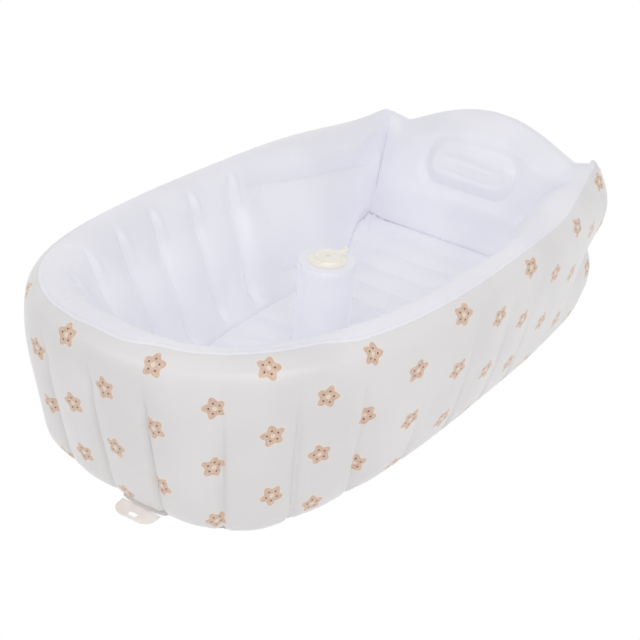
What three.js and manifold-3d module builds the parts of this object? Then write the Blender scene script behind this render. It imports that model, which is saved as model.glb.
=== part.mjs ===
// Inflatable bathtub for a baby: a ring-shaped air wall with upright flutes, a sloping backrest with a
// head pillow, a ribbed air floor, a seat post in the middle, air valves, a drain and a hanging tab.
// Millimetres. +X runs from the foot end to the head end, +Y to the left seen from the foot, +Z up.
// The origin is at the middle of the footprint, on the surface that the tub stands on.

import * as THREE from 'three';
import { mergeVertices } from 'three/addons/utils/BufferGeometryUtils.js';
import Module from 'manifold-3d';

const wasm = await Module();
wasm.setup();

// Overall sizes
const tubLength = 980;
const tubWidth = 568;
const rimHeight = 246;
const rightEarRise = 25;
const leftEarRise = 13;
const sideRise = 6;
const sideRiseLength = 190;
const headBackHeight = 214;
const gap = 0.3;
const overrun = 2;
const mergeDistance = 0.003;

// Plan of the rim's middle line
const wallBulge = 35;
const widestInset = 386;
const footPower = 2.87;
const earInset = 56;
const earSideInset = 72;
const cornerInset = 86;
const headFlatInset = 134;
const cornerPower = 2.4;
const planSteps = 240;
const normalStep = 6;

// Wall: welds between its flutes, horizontal creases and where the floor meets it
const outerFluteDepth = 12;
const innerFluteDepth = 14;
const creaseDepth = 11;
const baseSpread = 10;
const stationSpacing = 8;
const weldSide = 11;
const pinchSpacing = 91;
const wallFootDepth = 113;
const wallHeadDepth = 27;
const wallBlendInset = 310;
const cornerStations = 7;
const seamLift = 1.15;
const seamThickness = 1;

// Floor
const sheetThickness = 0.5;
const floorHeight = 38;
const floorHeadHeight = 66;
const floorRiseSpacing = 156;
const ribPitch = 52;
const ribRise = 6;
const floorEdgeDrop = 12;
const floorStartHalfWidth = 34;
const floorSideClearance = 2.2;
const seamFlange = 9;

// Backrest
const creaseInset = 109;
const backrestLean = 0.277;
const backrestThickness = 45;
const backrestSideThickness = 13;
const backrestSideInset = 89;
const backrestTop = 301;
const backrestShoulderDrop = 49.5;
const backrestShoulderRise = 7;
const backrestTilt = 0.018;
const backrestEdgeRoll = 7;
const backrestWidening = 3;
const archInset = 25;
const backrestCrown = 13;
const backClearance = 2;
const creaseFlangeWidth = 10;
const creaseFlangeInset = 27;

// Pillow
const pillowWidth = 178;
const pillowLength = 78;
const pillowThickness = 15;
const pillowCentreDrop = 96;
const pillowCorner = 30;
const pillowCrease = 3;
const weldWidth = 6;
const weldThickness = 0.8;

// Seat post
const postInset = 454;
const postRadius = 44.5;
const postTop = 178;
const postSeatDepth = 14;
const postWaist = 2;
const postFlangeWidth = 9;

// Air valve
const valveFlangeRadius = 29;
const valveFlangeThickness = 0.9;
const valveCollarRadius = 20.5;
const valveCollarHeight = 5;
const valveBoreRadius = 13;
const valveMembrane = 0.8;
const capRadius = 20;
const capThickness = 2;
const capSkirtLength = 3;
const capSkirtClearance = 0.5;
const capSkirtTaper = 1.2;
const capTabReach = 35;
const capTabHalfWidth = 5;
const capRingRadius = 5;
const capRingHole = 1.9;
const strapWidth = 9;
const strapThickness = 1;
const strapReach = 5;
const valvePocketClearance = 4;
const floorValveInset = 320;
const floorValveSideInset = 211;
const roundSegments = 28;

// Drain
const drainInset = 198;
const drainSideInset = 232;
const drainRadius = 13;
const drainBore = 9;
const drainLipRadius = 18;
const drainLipThickness = 1.6;
const drainPocket = 6;
const plugHeadRadius = 14;
const plugHeadThickness = 2.4;
const plugDepth = 12;
const plugClearance = 0.4;
const plugGripHeight = 8;
const plugGripWidth = 3;
const tetherWidth = 5;
const tetherThickness = 1.2;

// Hanging tab
const tabWidth = 60;
const tabReach = 24;
const tabThickness = 0.5;
const tabSlotLength = 13;
const tabSlotWidth = 6;
const tabSide = -38;

// Places, each measured from the end or the side of the tub that it belongs to
const headEnd = tubLength / 2;
const footEnd = -tubLength / 2;
const widestX = headEnd - widestInset;
const earX = headEnd - earInset;
const cornerStartX = headEnd - cornerInset;
const wallBlendStartX = headEnd - wallBlendInset;
const creaseX = headEnd - creaseInset;
const postX = footEnd + postInset;
const floorRiseStartX = postX + floorRiseSpacing;
const floorValveX = footEnd + floorValveInset;
const drainX = footEnd + drainInset;
const earHalfWidth = tubWidth / 2 - earSideInset;
const headFlatHalfWidth = tubWidth / 2 - headFlatInset;
const backrestHalfWidth = tubWidth / 2 - backrestSideInset;
const archHalfWidth = backrestHalfWidth - archInset;
const creaseFlangeHalf = backrestHalfWidth - creaseFlangeInset;
const floorValveY = floorValveSideInset - tubWidth / 2;
const backrestShoulder = backrestTop - backrestShoulderDrop;
const pillowCentreHeight = backrestTop - pillowCentreDrop;
const drainY = drainSideInset - tubWidth / 2;

// Colours
const printedSkin = { color: 0xe4e3df, roughness: 0.42, metalness: 0 };
const innerSkin = { color: 0xe3e3ec, roughness: 0.38, metalness: 0 };
const floorSkin = { color: 0xdfe1ec, roughness: 0.4, metalness: 0 };
const valveVinyl = { color: 0xeeecdd, roughness: 0.45, metalness: 0 };
const clearVinyl = { color: 0xd9d6d2, roughness: 0.25, metalness: 0 };

const tub = new THREE.Group();

function addMesh(name, geometry, look, parent = tub) {
  const mesh = new THREE.Mesh(geometry, new THREE.MeshStandardMaterial(look));
  mesh.name = name;
  parent.add(mesh);
  return mesh;
}

// Closed surfaces from rings of points

function signedVolume(positions, index) {
  let sum = 0;
  const corner = (k) => new THREE.Vector3().fromArray(positions, 3 * index[k]);
  for (let k = 0; k < index.length; k += 3) {
    sum += corner(k).dot(corner(k + 1).cross(corner(k + 2)));
  }
  return sum;
}

function closedGeometry(points, index) {
  const positions = points.flatMap((point) => [point.x, point.y, point.z]);
  if (signedVolume(positions, index) < 0) {
    index.reverse();
  }
  const geometry = new THREE.BufferGeometry();
  geometry.setAttribute('position', new THREE.Float32BufferAttribute(positions, 3));
  geometry.setIndex(index);
  return geometry;
}

function joinRings(rings, closed) {
  const count = rings[0].length;
  const index = [];
  const last = closed ? rings.length : rings.length - 1;
  for (let i = 0; i < last; i += 1) {
    const here = i * count;
    const next = ((i + 1) % rings.length) * count;
    for (let j = 0; j < count; j += 1) {
      const k = (j + 1) % count;
      index.push(here + j, next + j, next + k, here + j, next + k, here + k);
    }
  }
  return index;
}

// A ring of rings that bites its own tail
function loopGeometry(rings) {
  return closedGeometry(rings.flat(), joinRings(rings, true));
}

// A stack of rings with a flat cap at each end
function sleeveGeometry(rings) {
  const points = rings.flat();
  const index = joinRings(rings, false);
  const count = rings[0].length;
  const addCap = (ring, start, turned) => {
    const middle = ring.reduce((sum, point) => sum.add(point), new THREE.Vector3());
    points.push(middle.divideScalar(count));
    for (let j = 0; j < count; j += 1) {
      const k = (j + 1) % count;
      const pair = turned ? [start + k, start + j] : [start + j, start + k];
      index.push(points.length - 1, ...pair);
    }
  };
  addCap(rings[0], 0, false);
  addCap(rings.at(-1), (rings.length - 1) * count, true);
  return closedGeometry(points, index);
}

// Boolean cuts and joins

function toSolid(geometry) {
  const bare = geometry.clone();
  bare.deleteAttribute('normal');
  bare.deleteAttribute('uv');
  const merged = mergeVertices(bare, mergeDistance);
  return new wasm.Manifold(new wasm.Mesh({
    numProp: 3,
    vertProperties: new Float32Array(merged.attributes.position.array),
    triVerts: new Uint32Array(merged.index.array),
  }));
}

function toGeometry(solid) {
  const mesh = solid.getMesh();
  const geometry = new THREE.BufferGeometry();
  geometry.setAttribute('position', new THREE.BufferAttribute(mesh.vertProperties, 3));
  geometry.setIndex(new THREE.BufferAttribute(mesh.triVerts, 1));
  return geometry;
}

function cylinder(radius, bottom, top, endRadius = radius) {
  const geometry = new THREE.CylinderGeometry(endRadius, radius, top - bottom, roundSegments);
  geometry.rotateX(Math.PI / 2);
  geometry.translate(0, 0, (top + bottom) / 2);
  return geometry;
}

function cut(geometry, cutters) {
  const tools = cutters.map(toSolid);
  return toGeometry(tools.reduce((body, tool) => body.subtract(tool), toSolid(geometry)));
}

// A plate of even thickness from an outline and its holes, without doubled points

function withoutDoubles(points) {
  return points.filter((point, i) => point.distanceTo(points.at(i - 1)) > mergeDistance);
}

function turned(points, clockwise) {
  return THREE.ShapeUtils.isClockWise(points) === clockwise ? points : points.toReversed();
}

function plateGeometry(shape, depth, divisions) {
  const { shape: outline, holes } = shape.extractPoints(divisions);
  const plate = new THREE.Shape(turned(withoutDoubles(outline), false));
  plate.holes = holes.map((hole) => new THREE.Path(turned(withoutDoubles(hole), true)));
  return new THREE.ExtrudeGeometry(plate, { depth, bevelEnabled: false });
}

// Smooth helpers

const mix = THREE.MathUtils.lerp;
const smooth = (value, start, end) => THREE.MathUtils.smoothstep(value, start, end);

// The rim's middle line in plan, as one half from the foot to the head, measured by its length

function sideHalfWidth(x) {
  const half = tubWidth / 2 - wallBulge;
  const along = (x - widestX) / (earX - widestX);
  return half - (half - earHalfWidth) * along * along;
}

function halfPlan() {
  const half = tubWidth / 2 - wallBulge;
  const end = headEnd - wallBulge;
  const points = [];
  for (let i = 0; i <= planSteps; i += 1) {
    const angle = (i / planSteps) * Math.PI / 2;
    points.push(new THREE.Vector2(
      widestX - (widestX + end) * Math.cos(angle) ** (2 / footPower),
      half * Math.sin(angle) ** (2 / footPower),
    ));
  }
  for (let i = 1; i <= planSteps; i += 1) {
    const x = mix(widestX, cornerStartX, i / planSteps);
    points.push(new THREE.Vector2(x, sideHalfWidth(x)));
  }
  const cornerWidth = sideHalfWidth(cornerStartX) - headFlatHalfWidth;
  for (let i = 1; i <= planSteps; i += 1) {
    const angle = (i / planSteps) * Math.PI / 2;
    points.push(new THREE.Vector2(
      cornerStartX + (end - cornerStartX) * Math.sin(angle) ** (2 / cornerPower),
      headFlatHalfWidth + cornerWidth * Math.max(Math.cos(angle), 0) ** (2 / cornerPower),
    ));
  }
  points.push(new THREE.Vector2(end, 0));
  return points;
}

const planPoints = halfPlan();
const planLengths = planPoints.reduce((lengths, point, i) => {
  lengths.push(i === 0 ? 0 : lengths[i - 1] + point.distanceTo(planPoints[i - 1]));
  return lengths;
}, []);
const planLength = planLengths.at(-1);

function planPlace(distance) {
  const wanted = Math.min(Math.max(distance, 0), planLength);
  const i = Math.max(1, planLengths.findIndex((length) => length >= wanted));
  const share = (wanted - planLengths[i - 1]) / (planLengths[i] - planLengths[i - 1]);
  return planPoints[i - 1].clone().lerp(planPoints[i], share);
}

function planStation(distance) {
  const place = planPlace(distance);
  const before = planPlace(distance - normalStep);
  const after = planPlace(distance + normalStep);
  const along = after.sub(before).normalize();
  const normal = new THREE.Vector2(-along.y, along.x);
  if (distance <= 0) {
    normal.set(-1, 0);
  }
  if (distance >= planLength) {
    normal.set(1, 0);
  }
  return { distance, x: place.x, y: place.y, normal };
}

function distanceAtX(x) {
  return planLengths[planPoints.findIndex((point) => point.x >= x)];
}

const cornerStart = distanceAtX(cornerStartX);
const earDistance = distanceAtX(earX);
const headFlatStart = planLength - headFlatHalfWidth;

// Places along the rim, as shares of its half length from the foot to the head
const outerWeldShares = [0, 0.059, 0.118, 0.181, 0.249, 0.328, 0.403, 0.48, 0.541, 0.596, 0.646];
const innerWeldShares = [0.05, 0.115, 0.18, 0.25, 0.315, 0.388, 0.469];
const outerFadeShares = [0.451, 0.692, 0.749];
const innerFadeShares = [0.473, 0.515];
const sideRiseShare = 0.612;
const outerFadeDropShare = 0.55;
const earStationShares = [0.2, 0.4, 0.6, 0.8];

// How far the foot of the wall stands out: places along the rim and shares of the spread there
const baseLineShares = [
  [0, -0.8], [0.064, -0.9], [0.1, -0.2], [0.129, 0.5], [0.153, 0.7], [0.183, 0], [0.218, -0.5],
  [0.283, -1], [0.362, -1.3], [0.483, -1.3], [0.563, -1], [0.679, -0.3], [0.773, 0.8], [0.821, 0.4],
  [0.869, 0], [1, 0],
];

// Stations: at the welds of both faces, beside them and half-way between, then round the head corner
function halfStations() {
  const outer = outerWeldShares.map((share) => share * planLength);
  const inner = innerWeldShares.map((share) => share * planLength);
  const beside = outer.flatMap((weld) => [weld - weldSide, weld + weldSide]);
  const between = outer.slice(1).map((weld, i) => (weld + outer[i]) / 2);
  const welds = [...outer, ...inner];
  const clearOf = (places) => (place) => places.every((other) => Math.abs(other - place) > stationSpacing);
  const kept = [...outer, ...inner.filter(clearOf(outer))];
  beside.filter(clearOf(welds)).forEach((place) => kept.push(place));
  between.filter(clearOf(kept)).forEach((place) => kept.push(place));
  earStationShares.forEach((share) => kept.push(mix(outer.at(-1), cornerStart, share)));
  for (let i = 0; i < cornerStations; i += 1) {
    kept.push(mix(cornerStart, headFlatStart, i / (cornerStations - 1)));
  }
  kept.push(mix(headFlatStart, planLength, 0.5), planLength);
  return kept.filter((distance) => distance >= 0).sort((a, b) => a - b).map(planStation);
}

function mirrored(stations) {
  const other = stations.slice(1, -1).reverse().map((station) => ({
    ...station,
    y: -station.y,
    normal: new THREE.Vector2(station.normal.x, -station.normal.y),
  }));
  return [...stations, ...other];
}

const stations = mirrored(halfStations());

// How strongly the section is that of the ear or of the head end, and the rim's height there

function sectionShares(station) {
  const ear = smooth(station.x, wallBlendStartX, creaseX);
  const head = smooth(station.distance, earDistance, headFlatStart);
  const spike = Math.max(0, 1 - Math.abs(station.distance - earDistance) / (creaseX - wallBlendStartX));
  return { ear, head, spike };
}

function rimTop(station) {
  const { head, spike } = sectionShares(station);
  const along = (station.distance - sideRiseShare * planLength) / sideRiseLength;
  const side = rimHeight + sideRise * Math.exp(-along * along);
  const earRise = station.y > 0 ? leftEarRise : rightEarRise;
  return mix(side, headBackHeight, head) + earRise * spike ** 2.5 * (1 - head);
}

function floorTop(x) {
  return mix(floorHeight, floorHeadHeight, smooth(x, floorRiseStartX, creaseX));
}

function wallDepth(station) {
  return mix(wallFootDepth, wallHeadDepth, sectionShares(station).ear);
}

// 1 at each weld and 0 half-way between two; with a low power the flutes are flat and the welds sharp
function weldAt(share, welds, power) {
  const next = welds.findIndex((weld) => weld > share);
  if (next < 1) {
    return 0;
  }
  const between = (share - welds[next - 1]) / (welds[next] - welds[next - 1]);
  return 1 - Math.sin(between * Math.PI) ** power;
}

function baseOut(share) {
  const next = Math.max(1, baseLineShares.findIndex(([place]) => place >= share));
  const [start, startOut] = baseLineShares[next - 1];
  const [end, endOut] = baseLineShares[next];
  return baseSpread * mix(startOut, endOut, (share - start) / (end - start));
}

const backPlane = (z) => creaseX + backrestLean * (z - floorHeadHeight);

// Outside of the wall: how far out, how high as a share of the rim, and how deep the flutes run there
const outerSideShares = [
  { out: -0.05, up: 0, flute: 0.4 },
  { out: 0.46, up: 0.06, flute: 0.6 },
  { out: 0.8, up: 0.24, flute: 1 },
  { out: 0.93, up: 0.49, flute: 1 },
  { out: 1, up: 0.83, flute: 0.35 },
  { out: 0.78, up: 0.955, flute: 0 },
  { out: 0.32, up: 0.994, flute: 0 },
];
const outerEarShares = [
  { out: -0.05, up: 0 },
  { out: 0.58, up: 0.07 },
  { out: 0.9, up: 0.26 },
  { out: 0.6, up: 0.49 },
  { out: 1, up: 0.72 },
  { out: 0.8, up: 0.88 },
  { out: 0.2, up: 0.995 },
];
const outerHeadShares = [
  { out: -0.05, up: 0 },
  { out: 0.58, up: 0.07 },
  { out: 0.9, up: 0.26 },
  { out: 0.58, up: 0.52 },
  { out: 1, up: 0.8 },
  { out: 0.9, up: 0.94 },
  { out: 0.7, up: 1 },
];

// Inside of the wall: how far in as a share of the floor line's depth, and how high as a share
const innerSideShares = [
  { depth: 0.12, earDepth: 0.1, up: 0.99, flute: 0 },
  { depth: 0.28, earDepth: 0.2, up: 0.92, flute: 0.3 },
  { depth: 0.47, earDepth: 0.28, up: 0.77, flute: 1 },
  { depth: 0.65, earDepth: 0.36, up: 0.59, flute: 1 },
  { depth: 0.77, earDepth: 0.5, up: 0.405, flute: 1 },
  { depth: 0.87, earDepth: 0.7, up: 0.275, flute: 0.8 },
];
const creaseShares = [0, 0, 1, 0, 0, 1];
const footShares = [1, 1, 0.6, 0.1, 0, 0, 0];
const outerWeldPower = 0.6;
const innerWeldPower = 0.8;

function wallSection(station) {
  const { ear, head } = sectionShares(station);
  const top = rimTop(station);
  const depth = wallDepth(station);
  const share = station.distance / planLength;
  const [fadeStart, fadeMiddle, fadeEnd] = outerFadeShares;
  const weaker = 1 - outerFadeDropShare * smooth(share, fadeStart, fadeMiddle);
  const fading = weaker * (1 - smooth(share, fadeMiddle, fadeEnd));
  const outerFlute = outerFluteDepth * fading * weldAt(share, [...outerWeldShares, fadeEnd], outerWeldPower);
  const passed = smooth(share, ...innerFadeShares);
  const innerEnds = [-innerWeldShares[0], ...innerWeldShares, fadeMiddle];
  const innerFlute = innerFluteDepth * (1 - passed) * weldAt(share, innerEnds, innerWeldPower);
  const crease = creaseDepth * passed * (1 - ear);
  const foot = baseOut(share);
  const pinch = smooth(station.x, wallBlendStartX + pinchSpacing, earX);
  const section = outerSideShares.map((side, i) => {
    const nearEar = outerEarShares[i];
    const end = outerHeadShares[i];
    const out = mix(mix(side.out, nearEar.out, pinch), end.out, head);
    return {
      out: wallBulge * out - outerFlute * side.flute + foot * footShares[i],
      z: top * mix(mix(side.up, nearEar.up, pinch), end.up, head),
    };
  });
  const headOut = (z) => backPlane(z) + backrestThickness + backClearance - (headEnd - wallBulge);
  innerSideShares.forEach((side, i) => {
    const z = top * side.up;
    const inset = depth * mix(side.depth, side.earDepth, ear);
    const sideOut = -inset + innerFlute * side.flute + crease * creaseShares[i];
    section.push({ out: mix(sideOut, headOut(z), head), z });
  });
  const line = floorTop(station.x);
  section.push({ out: mix(-depth, headOut(line), head), z: line });
  section.push({ out: mix(-depth, headOut(0), head), z: 0 });
  return section;
}

const wallBottom = sheetThickness + gap;

function wallRing(station) {
  return wallSection(station).map(({ out, z }) => new THREE.Vector3(
    station.x + station.normal.x * out,
    station.y + station.normal.y * out,
    Math.max(z, wallBottom),
  ));
}

// Valves: the seats are cut into the chambers, and each valve is a body, a cap and a strap

const wallValveShare = 0.74;
const valveHeight = gap + valveCollarHeight + gap + capThickness;

const valveSeats = {
  wall: {
    place: new THREE.Vector3(headEnd - valveHeight - gap, 0, headBackHeight * wallValveShare),
    tilt: new THREE.Euler(0, Math.PI / 2, 0),
    look: valveVinyl,
  },
  backrest: {
    place: new THREE.Vector3(
      backPlane(backrestShoulder) + backrestThickness - valveHeight,
      0,
      backrestShoulder,
    ),
    tilt: new THREE.Euler(0, Math.PI / 2 - Math.atan(backrestLean), 0),
    look: valveVinyl,
  },
  floor: {
    place: new THREE.Vector3(floorValveX, floorValveY, floorHeight - ribRise),
    tilt: new THREE.Euler(0, 0, Math.PI),
    look: valveVinyl,
  },
  post: {
    place: new THREE.Vector3(postX, 0, postTop + weldThickness + gap),
    tilt: new THREE.Euler(0, 0, 0),
    look: valveVinyl,
  },
};

// A round seat for the flange and a slot for the cap's finger tab
function seatCutters(seat) {
  const depth = tubWidth / 4;
  const reach = capTabReach + capRingRadius + valvePocketClearance;
  const slot = new THREE.BoxGeometry(reach, 2 * (capRingRadius + valvePocketClearance), depth);
  slot.translate(reach / 2, 0, depth / 2);
  const round = cylinder(valveFlangeRadius + valvePocketClearance, 0, depth);
  const placing = new THREE.Matrix4().makeRotationFromEuler(seat.tilt).setPosition(seat.place);
  return [round.applyMatrix4(placing), slot.applyMatrix4(placing)];
}

function valveBody() {
  const profile = [
    [0, 0],
    [valveFlangeRadius, 0],
    [valveFlangeRadius, valveFlangeThickness],
    [valveCollarRadius, valveFlangeThickness],
    [valveCollarRadius, valveCollarHeight],
    [valveBoreRadius, valveCollarHeight],
    [valveBoreRadius, valveMembrane],
    [0, valveMembrane],
  ].map(([radius, height]) => new THREE.Vector2(radius, height));
  const geometry = new THREE.LatheGeometry(profile, roundSegments);
  geometry.rotateX(Math.PI / 2);
  geometry.translate(0, 0, gap);
  return geometry;
}

function valveCap() {
  const bottom = gap + valveCollarHeight + gap;
  const tab = new THREE.Shape();
  tab.moveTo(0, -capTabHalfWidth);
  tab.lineTo(capTabReach, -capTabHalfWidth);
  tab.absarc(capTabReach, 0, capRingRadius, -Math.PI / 2, Math.PI / 2, false);
  tab.lineTo(0, capTabHalfWidth);
  tab.closePath();
  const ring = new THREE.Path();
  ring.absarc(capTabReach, 0, capRingHole, 0, Math.PI * 2, true);
  tab.holes.push(ring);
  const tabSolid = plateGeometry(tab, capThickness, 8);
  tabSolid.translate(0, 0, bottom);
  const skirtRadius = valveBoreRadius - capSkirtClearance;
  const skirt = cylinder(
    skirtRadius - capSkirtTaper,
    bottom - capSkirtLength,
    bottom + capThickness / 2,
    skirtRadius,
  );
  const disc = cylinder(capRadius, bottom, bottom + capThickness);
  return toGeometry(toSolid(disc).add(toSolid(skirt)).add(toSolid(tabSolid)));
}

function valveStrap() {
  const low = gap + valveFlangeThickness + gap + strapThickness;
  const high = gap + valveCollarHeight + gap + capThickness - strapThickness;
  const outline = new THREE.Shape();
  const near = -valveCollarRadius - gap;
  outline.moveTo(near, low - strapThickness);
  outline.quadraticCurveTo(near - strapReach, low - strapThickness, near - strapReach, (low + high) / 2);
  outline.quadraticCurveTo(near - strapReach, high + strapThickness, near, high + strapThickness);
  outline.lineTo(near, high);
  outline.quadraticCurveTo(
    near - strapReach + strapThickness,
    high,
    near - strapReach + strapThickness,
    (low + high) / 2,
  );
  outline.quadraticCurveTo(near - strapReach + strapThickness, low, near, low);
  outline.closePath();
  const geometry = plateGeometry(outline, strapWidth, 5);
  geometry.translate(0, 0, -strapWidth / 2);
  geometry.rotateX(Math.PI / 2);
  return geometry;
}

Object.entries(valveSeats).forEach(([name, seat]) => {
  const group = new THREE.Group();
  group.position.copy(seat.place);
  group.rotation.copy(seat.tilt);
  addMesh(`${name}_valve_body`, valveBody(), seat.look, group);
  addMesh(`${name}_valve_cap`, valveCap(), seat.look, group);
  addMesh(`${name}_valve_strap`, valveStrap(), seat.look, group);
  tub.add(group);
});

// Wall

const wallGeometry = loopGeometry(stations.map(wallRing));
addMesh('wall_chamber', cut(wallGeometry, seatCutters(valveSeats.wall)), printedSkin);

// Seam between the printed outside and the plain inside, from ear to ear round the foot
const seamShares = [0.02, 0.42];
const seamPoint = outerSideShares.length - 1;

function seamRing(station) {
  const ring = wallRing(station);
  const [first, second] = seamShares.map((share) => ring[seamPoint].clone().lerp(ring[seamPoint - 1], share));
  const across = new THREE.Vector3(station.normal.x, station.normal.y, 0);
  const slope = second.clone().sub(first);
  const up = new THREE.Vector3(0, 0, slope.dot(across)).addScaledVector(across, -slope.z).normalize();
  return [
    first.clone().addScaledVector(up, seamLift),
    second.clone().addScaledVector(up, seamLift),
    second.clone().addScaledVector(up, seamLift + seamThickness),
    first.clone().addScaledVector(up, seamLift + seamThickness),
  ];
}

const seamStations = stations
  .filter((station) => station.distance < earDistance)
  .sort((a, b) => Math.sign(a.y) * a.distance - Math.sign(b.y) * b.distance);
addMesh('rim_seam', sleeveGeometry(seamStations.map(seamRing)), innerSkin);

// Base sheet with its welded flange round the edge
function baseOutline() {
  return stations.map((station) => {
    const out = wallSection(station)[0].out + seamFlange;
    return new THREE.Vector2(station.x + station.normal.x * out, station.y + station.normal.y * out);
  });
}

const baseShape = new THREE.Shape(baseOutline());
const drainHole = new THREE.Path();
drainHole.absarc(drainX, drainY, drainRadius + gap, 0, Math.PI * 2, true);
baseShape.holes.push(drainHole);
addMesh('base_sheet', plateGeometry(baseShape, sheetThickness, roundSegments / 2), floorSkin);

// Floor pad: sections across the tub, drawn in at the sides and raised in ribs

const innerLine = stations
  .slice(0, stations.findIndex((station) => station.distance >= planLength) + 1)
  .map((station) => {
    const out = wallSection(station).at(-1).out;
    return new THREE.Vector2(station.x + station.normal.x * out, station.y + station.normal.y * out);
  });

function floorHalfWidth(x) {
  const i = Math.max(1, innerLine.findIndex((point) => point.x >= x));
  const share = (x - innerLine[i - 1].x) / (innerLine[i].x - innerLine[i - 1].x);
  return mix(innerLine[i - 1].y, innerLine[i].y, share) - floorSideClearance;
}

function floorStart() {
  let x = innerLine[0].x;
  while (floorHalfWidth(x) < floorStartHalfWidth) {
    x += gap;
  }
  return x;
}

const floorFoot = floorStart();
const floorEndShare = 0.7;
const floorEdgePower = 8;
const floorWidthShares = [-1, -0.94, -0.72, -0.36, 0, 0.36, 0.72, 0.94, 1];

function floorRing(x) {
  const half = floorHalfWidth(x);
  const lean = backrestLean * smooth(x, creaseX - ribPitch, backPlane(0) - gap * 2);
  const rib = ribRise * Math.abs(Math.sin(((x - floorFoot) / ribPitch) * Math.PI));
  const endShare = smooth(x, floorFoot, floorFoot + ribPitch / 2);
  const ring = [-1, -0.5, 0.5, 1].map((share) => new THREE.Vector3(x, share * half, wallBottom));
  floorWidthShares.toReversed().forEach((share) => {
    const edge = share ** floorEdgePower;
    const top = floorTop(x) - ribRise + rib * (1 - edge);
    const z = top - floorEdgeDrop * Math.max(edge, (1 - endShare) * floorEndShare);
    ring.push(new THREE.Vector3(x + lean * z, share * half, z));
  });
  return ring;
}

function floorStations() {
  const end = backPlane(0) - gap * 2;
  const count = Math.round(((end - floorFoot) / ribPitch) * 4);
  return Array.from({ length: count + 1 }, (_, i) => mix(floorFoot, end, i / count));
}

const postSeat = cylinder(postRadius + gap, postSeatDepth, tubWidth);
postSeat.translate(postX, 0, 0);
const drainBoreCut = cylinder(drainRadius + gap, -overrun, tubWidth);
drainBoreCut.translate(drainX, drainY, 0);
const drainLipCut = cylinder(drainLipRadius + drainPocket, floorHeight - ribRise - overrun, tubWidth);
drainLipCut.translate(drainX, drainY, 0);
addMesh(
  'floor_pad',
  cut(sleeveGeometry(floorStations().map(floorRing)), [
    postSeat,
    drainBoreCut,
    drainLipCut,
    ...seatCutters(valveSeats.floor),
  ]),
  floorSkin,
);

// Backrest: a cushion leaning back, arched at the top and drawn in at its sides

const backWidthShares = [1, 0.985, 0.94, 0.86, 0.77, 0.66, 0.53, 0.36, 0.18, 0];
const backFrontShares = [0, 0.21, 0.27, 0.36, 0.48, 0.64, 0.8, 0.9, 0.97];
const backRearShares = [0.97, 0.88, 0.66, 0.4, 0.2, 0];
const crownAcrossShares = [0.62, 1];
const crownStartShares = [0.27, 0.5];
const crownEndShares = [0.9, 1];
const roundEdgeShares = [0.86, 1];
const waistShares = [0.05, 0.36];
const waistDrawShare = 0.045;
const wideningShares = [0.5, 0.92];
const edgeRollShares = [0.88, 1];
const archPower = 1.15;

function backrestTopAt(y) {
  const arch = Math.max(0, 1 - (y / archHalfWidth) ** 2) ** archPower;
  const rise = backrestShoulderRise * smooth(Math.abs(y), archHalfWidth, backrestHalfWidth);
  return backrestShoulder + (backrestTop - backrestShoulder) * arch + rise - backrestTilt * y;
}

function frontCrown(y, up) {
  const across = 1 - smooth(Math.abs(y) / backrestHalfWidth, ...crownAcrossShares);
  const rise = smooth(up, ...crownStartShares) * (1 - smooth(up, ...crownEndShares));
  return backrestCrown * across * rise;
}

function backrestRing(share) {
  const wide = backrestHalfWidth * share;
  const top = backrestTopAt(wide);
  const thickness = mix(backrestThickness, backrestSideThickness, Math.abs(share) ** 3);
  const roundEdge = (up) => 0.5 * smooth(up, ...roundEdgeShares) ** 2;
  const widened = (up) => share * backrestWidening * smooth(up, ...wideningShares);
  const narrowed = (up) => wide * (1 - waistDrawShare * (1 - smooth(up, ...waistShares))) + widened(up);
  const [rollStart, rollEnd] = edgeRollShares;
  const rolled = Math.max(0, (Math.abs(share) - rollStart) / (rollEnd - rollStart));
  const roll = backrestEdgeRoll * (1 - Math.sqrt(1 - rolled * rolled));
  const ring = backFrontShares.map((up) => {
    const z = mix(wallBottom, top, up);
    const x = backPlane(z) - frontCrown(wide, up) + roll + (thickness - roll) * roundEdge(up);
    return new THREE.Vector3(x, narrowed(up), z);
  });
  ring.push(new THREE.Vector3(backPlane(top) + (thickness + roll) / 2, narrowed(1), top));
  backRearShares.forEach((up) => {
    const z = mix(wallBottom, top, up);
    const rear = thickness - (thickness - roll) * roundEdge(up);
    ring.push(new THREE.Vector3(backPlane(z) + rear, narrowed(up), z));
  });
  return ring;
}

const backShares = [...backWidthShares, ...backWidthShares.slice(0, -1).reverse().map((share) => -share)];
addMesh(
  'backrest_chamber',
  cut(sleeveGeometry(backShares.map(backrestRing)), seatCutters(valveSeats.backrest)),
  innerSkin,
);

// Pillow and the weld round it, made flat and then laid on the backrest's slope

function roundedOutline(width, length, corner) {
  const shape = new THREE.Shape();
  const x = width / 2 - corner;
  const y = length / 2 - corner;
  shape.absarc(x, y, corner, 0, Math.PI / 2, false);
  shape.absarc(-x, y, corner, Math.PI / 2, Math.PI, false);
  shape.absarc(-x, -y, corner, Math.PI, Math.PI * 1.5, false);
  shape.absarc(x, -y, corner, Math.PI * 1.5, Math.PI * 2, false);
  shape.closePath();
  return shape;
}

// One crease runs across the pillow
const pillowShares = [
  { size: 1, rise: 0 },
  { size: 1, rise: 0.3 },
  { size: 0.92, rise: 0.72 },
  { size: 0.74, rise: 0.96 },
  { size: 0.4, rise: 1 },
];

function pillowRings() {
  const outline = roundedOutline(pillowWidth, pillowLength, pillowCorner).getSpacedPoints(44).slice(0, -1);
  return pillowShares.map(({ size, rise }) => outline.map((point) => {
    const crease = pillowCrease * rise * Math.max(0, 1 - Math.abs(point.y) / (pillowLength / 4));
    return new THREE.Vector3(point.x * size, point.y * size, pillowThickness * rise - crease);
  }));
}

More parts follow.
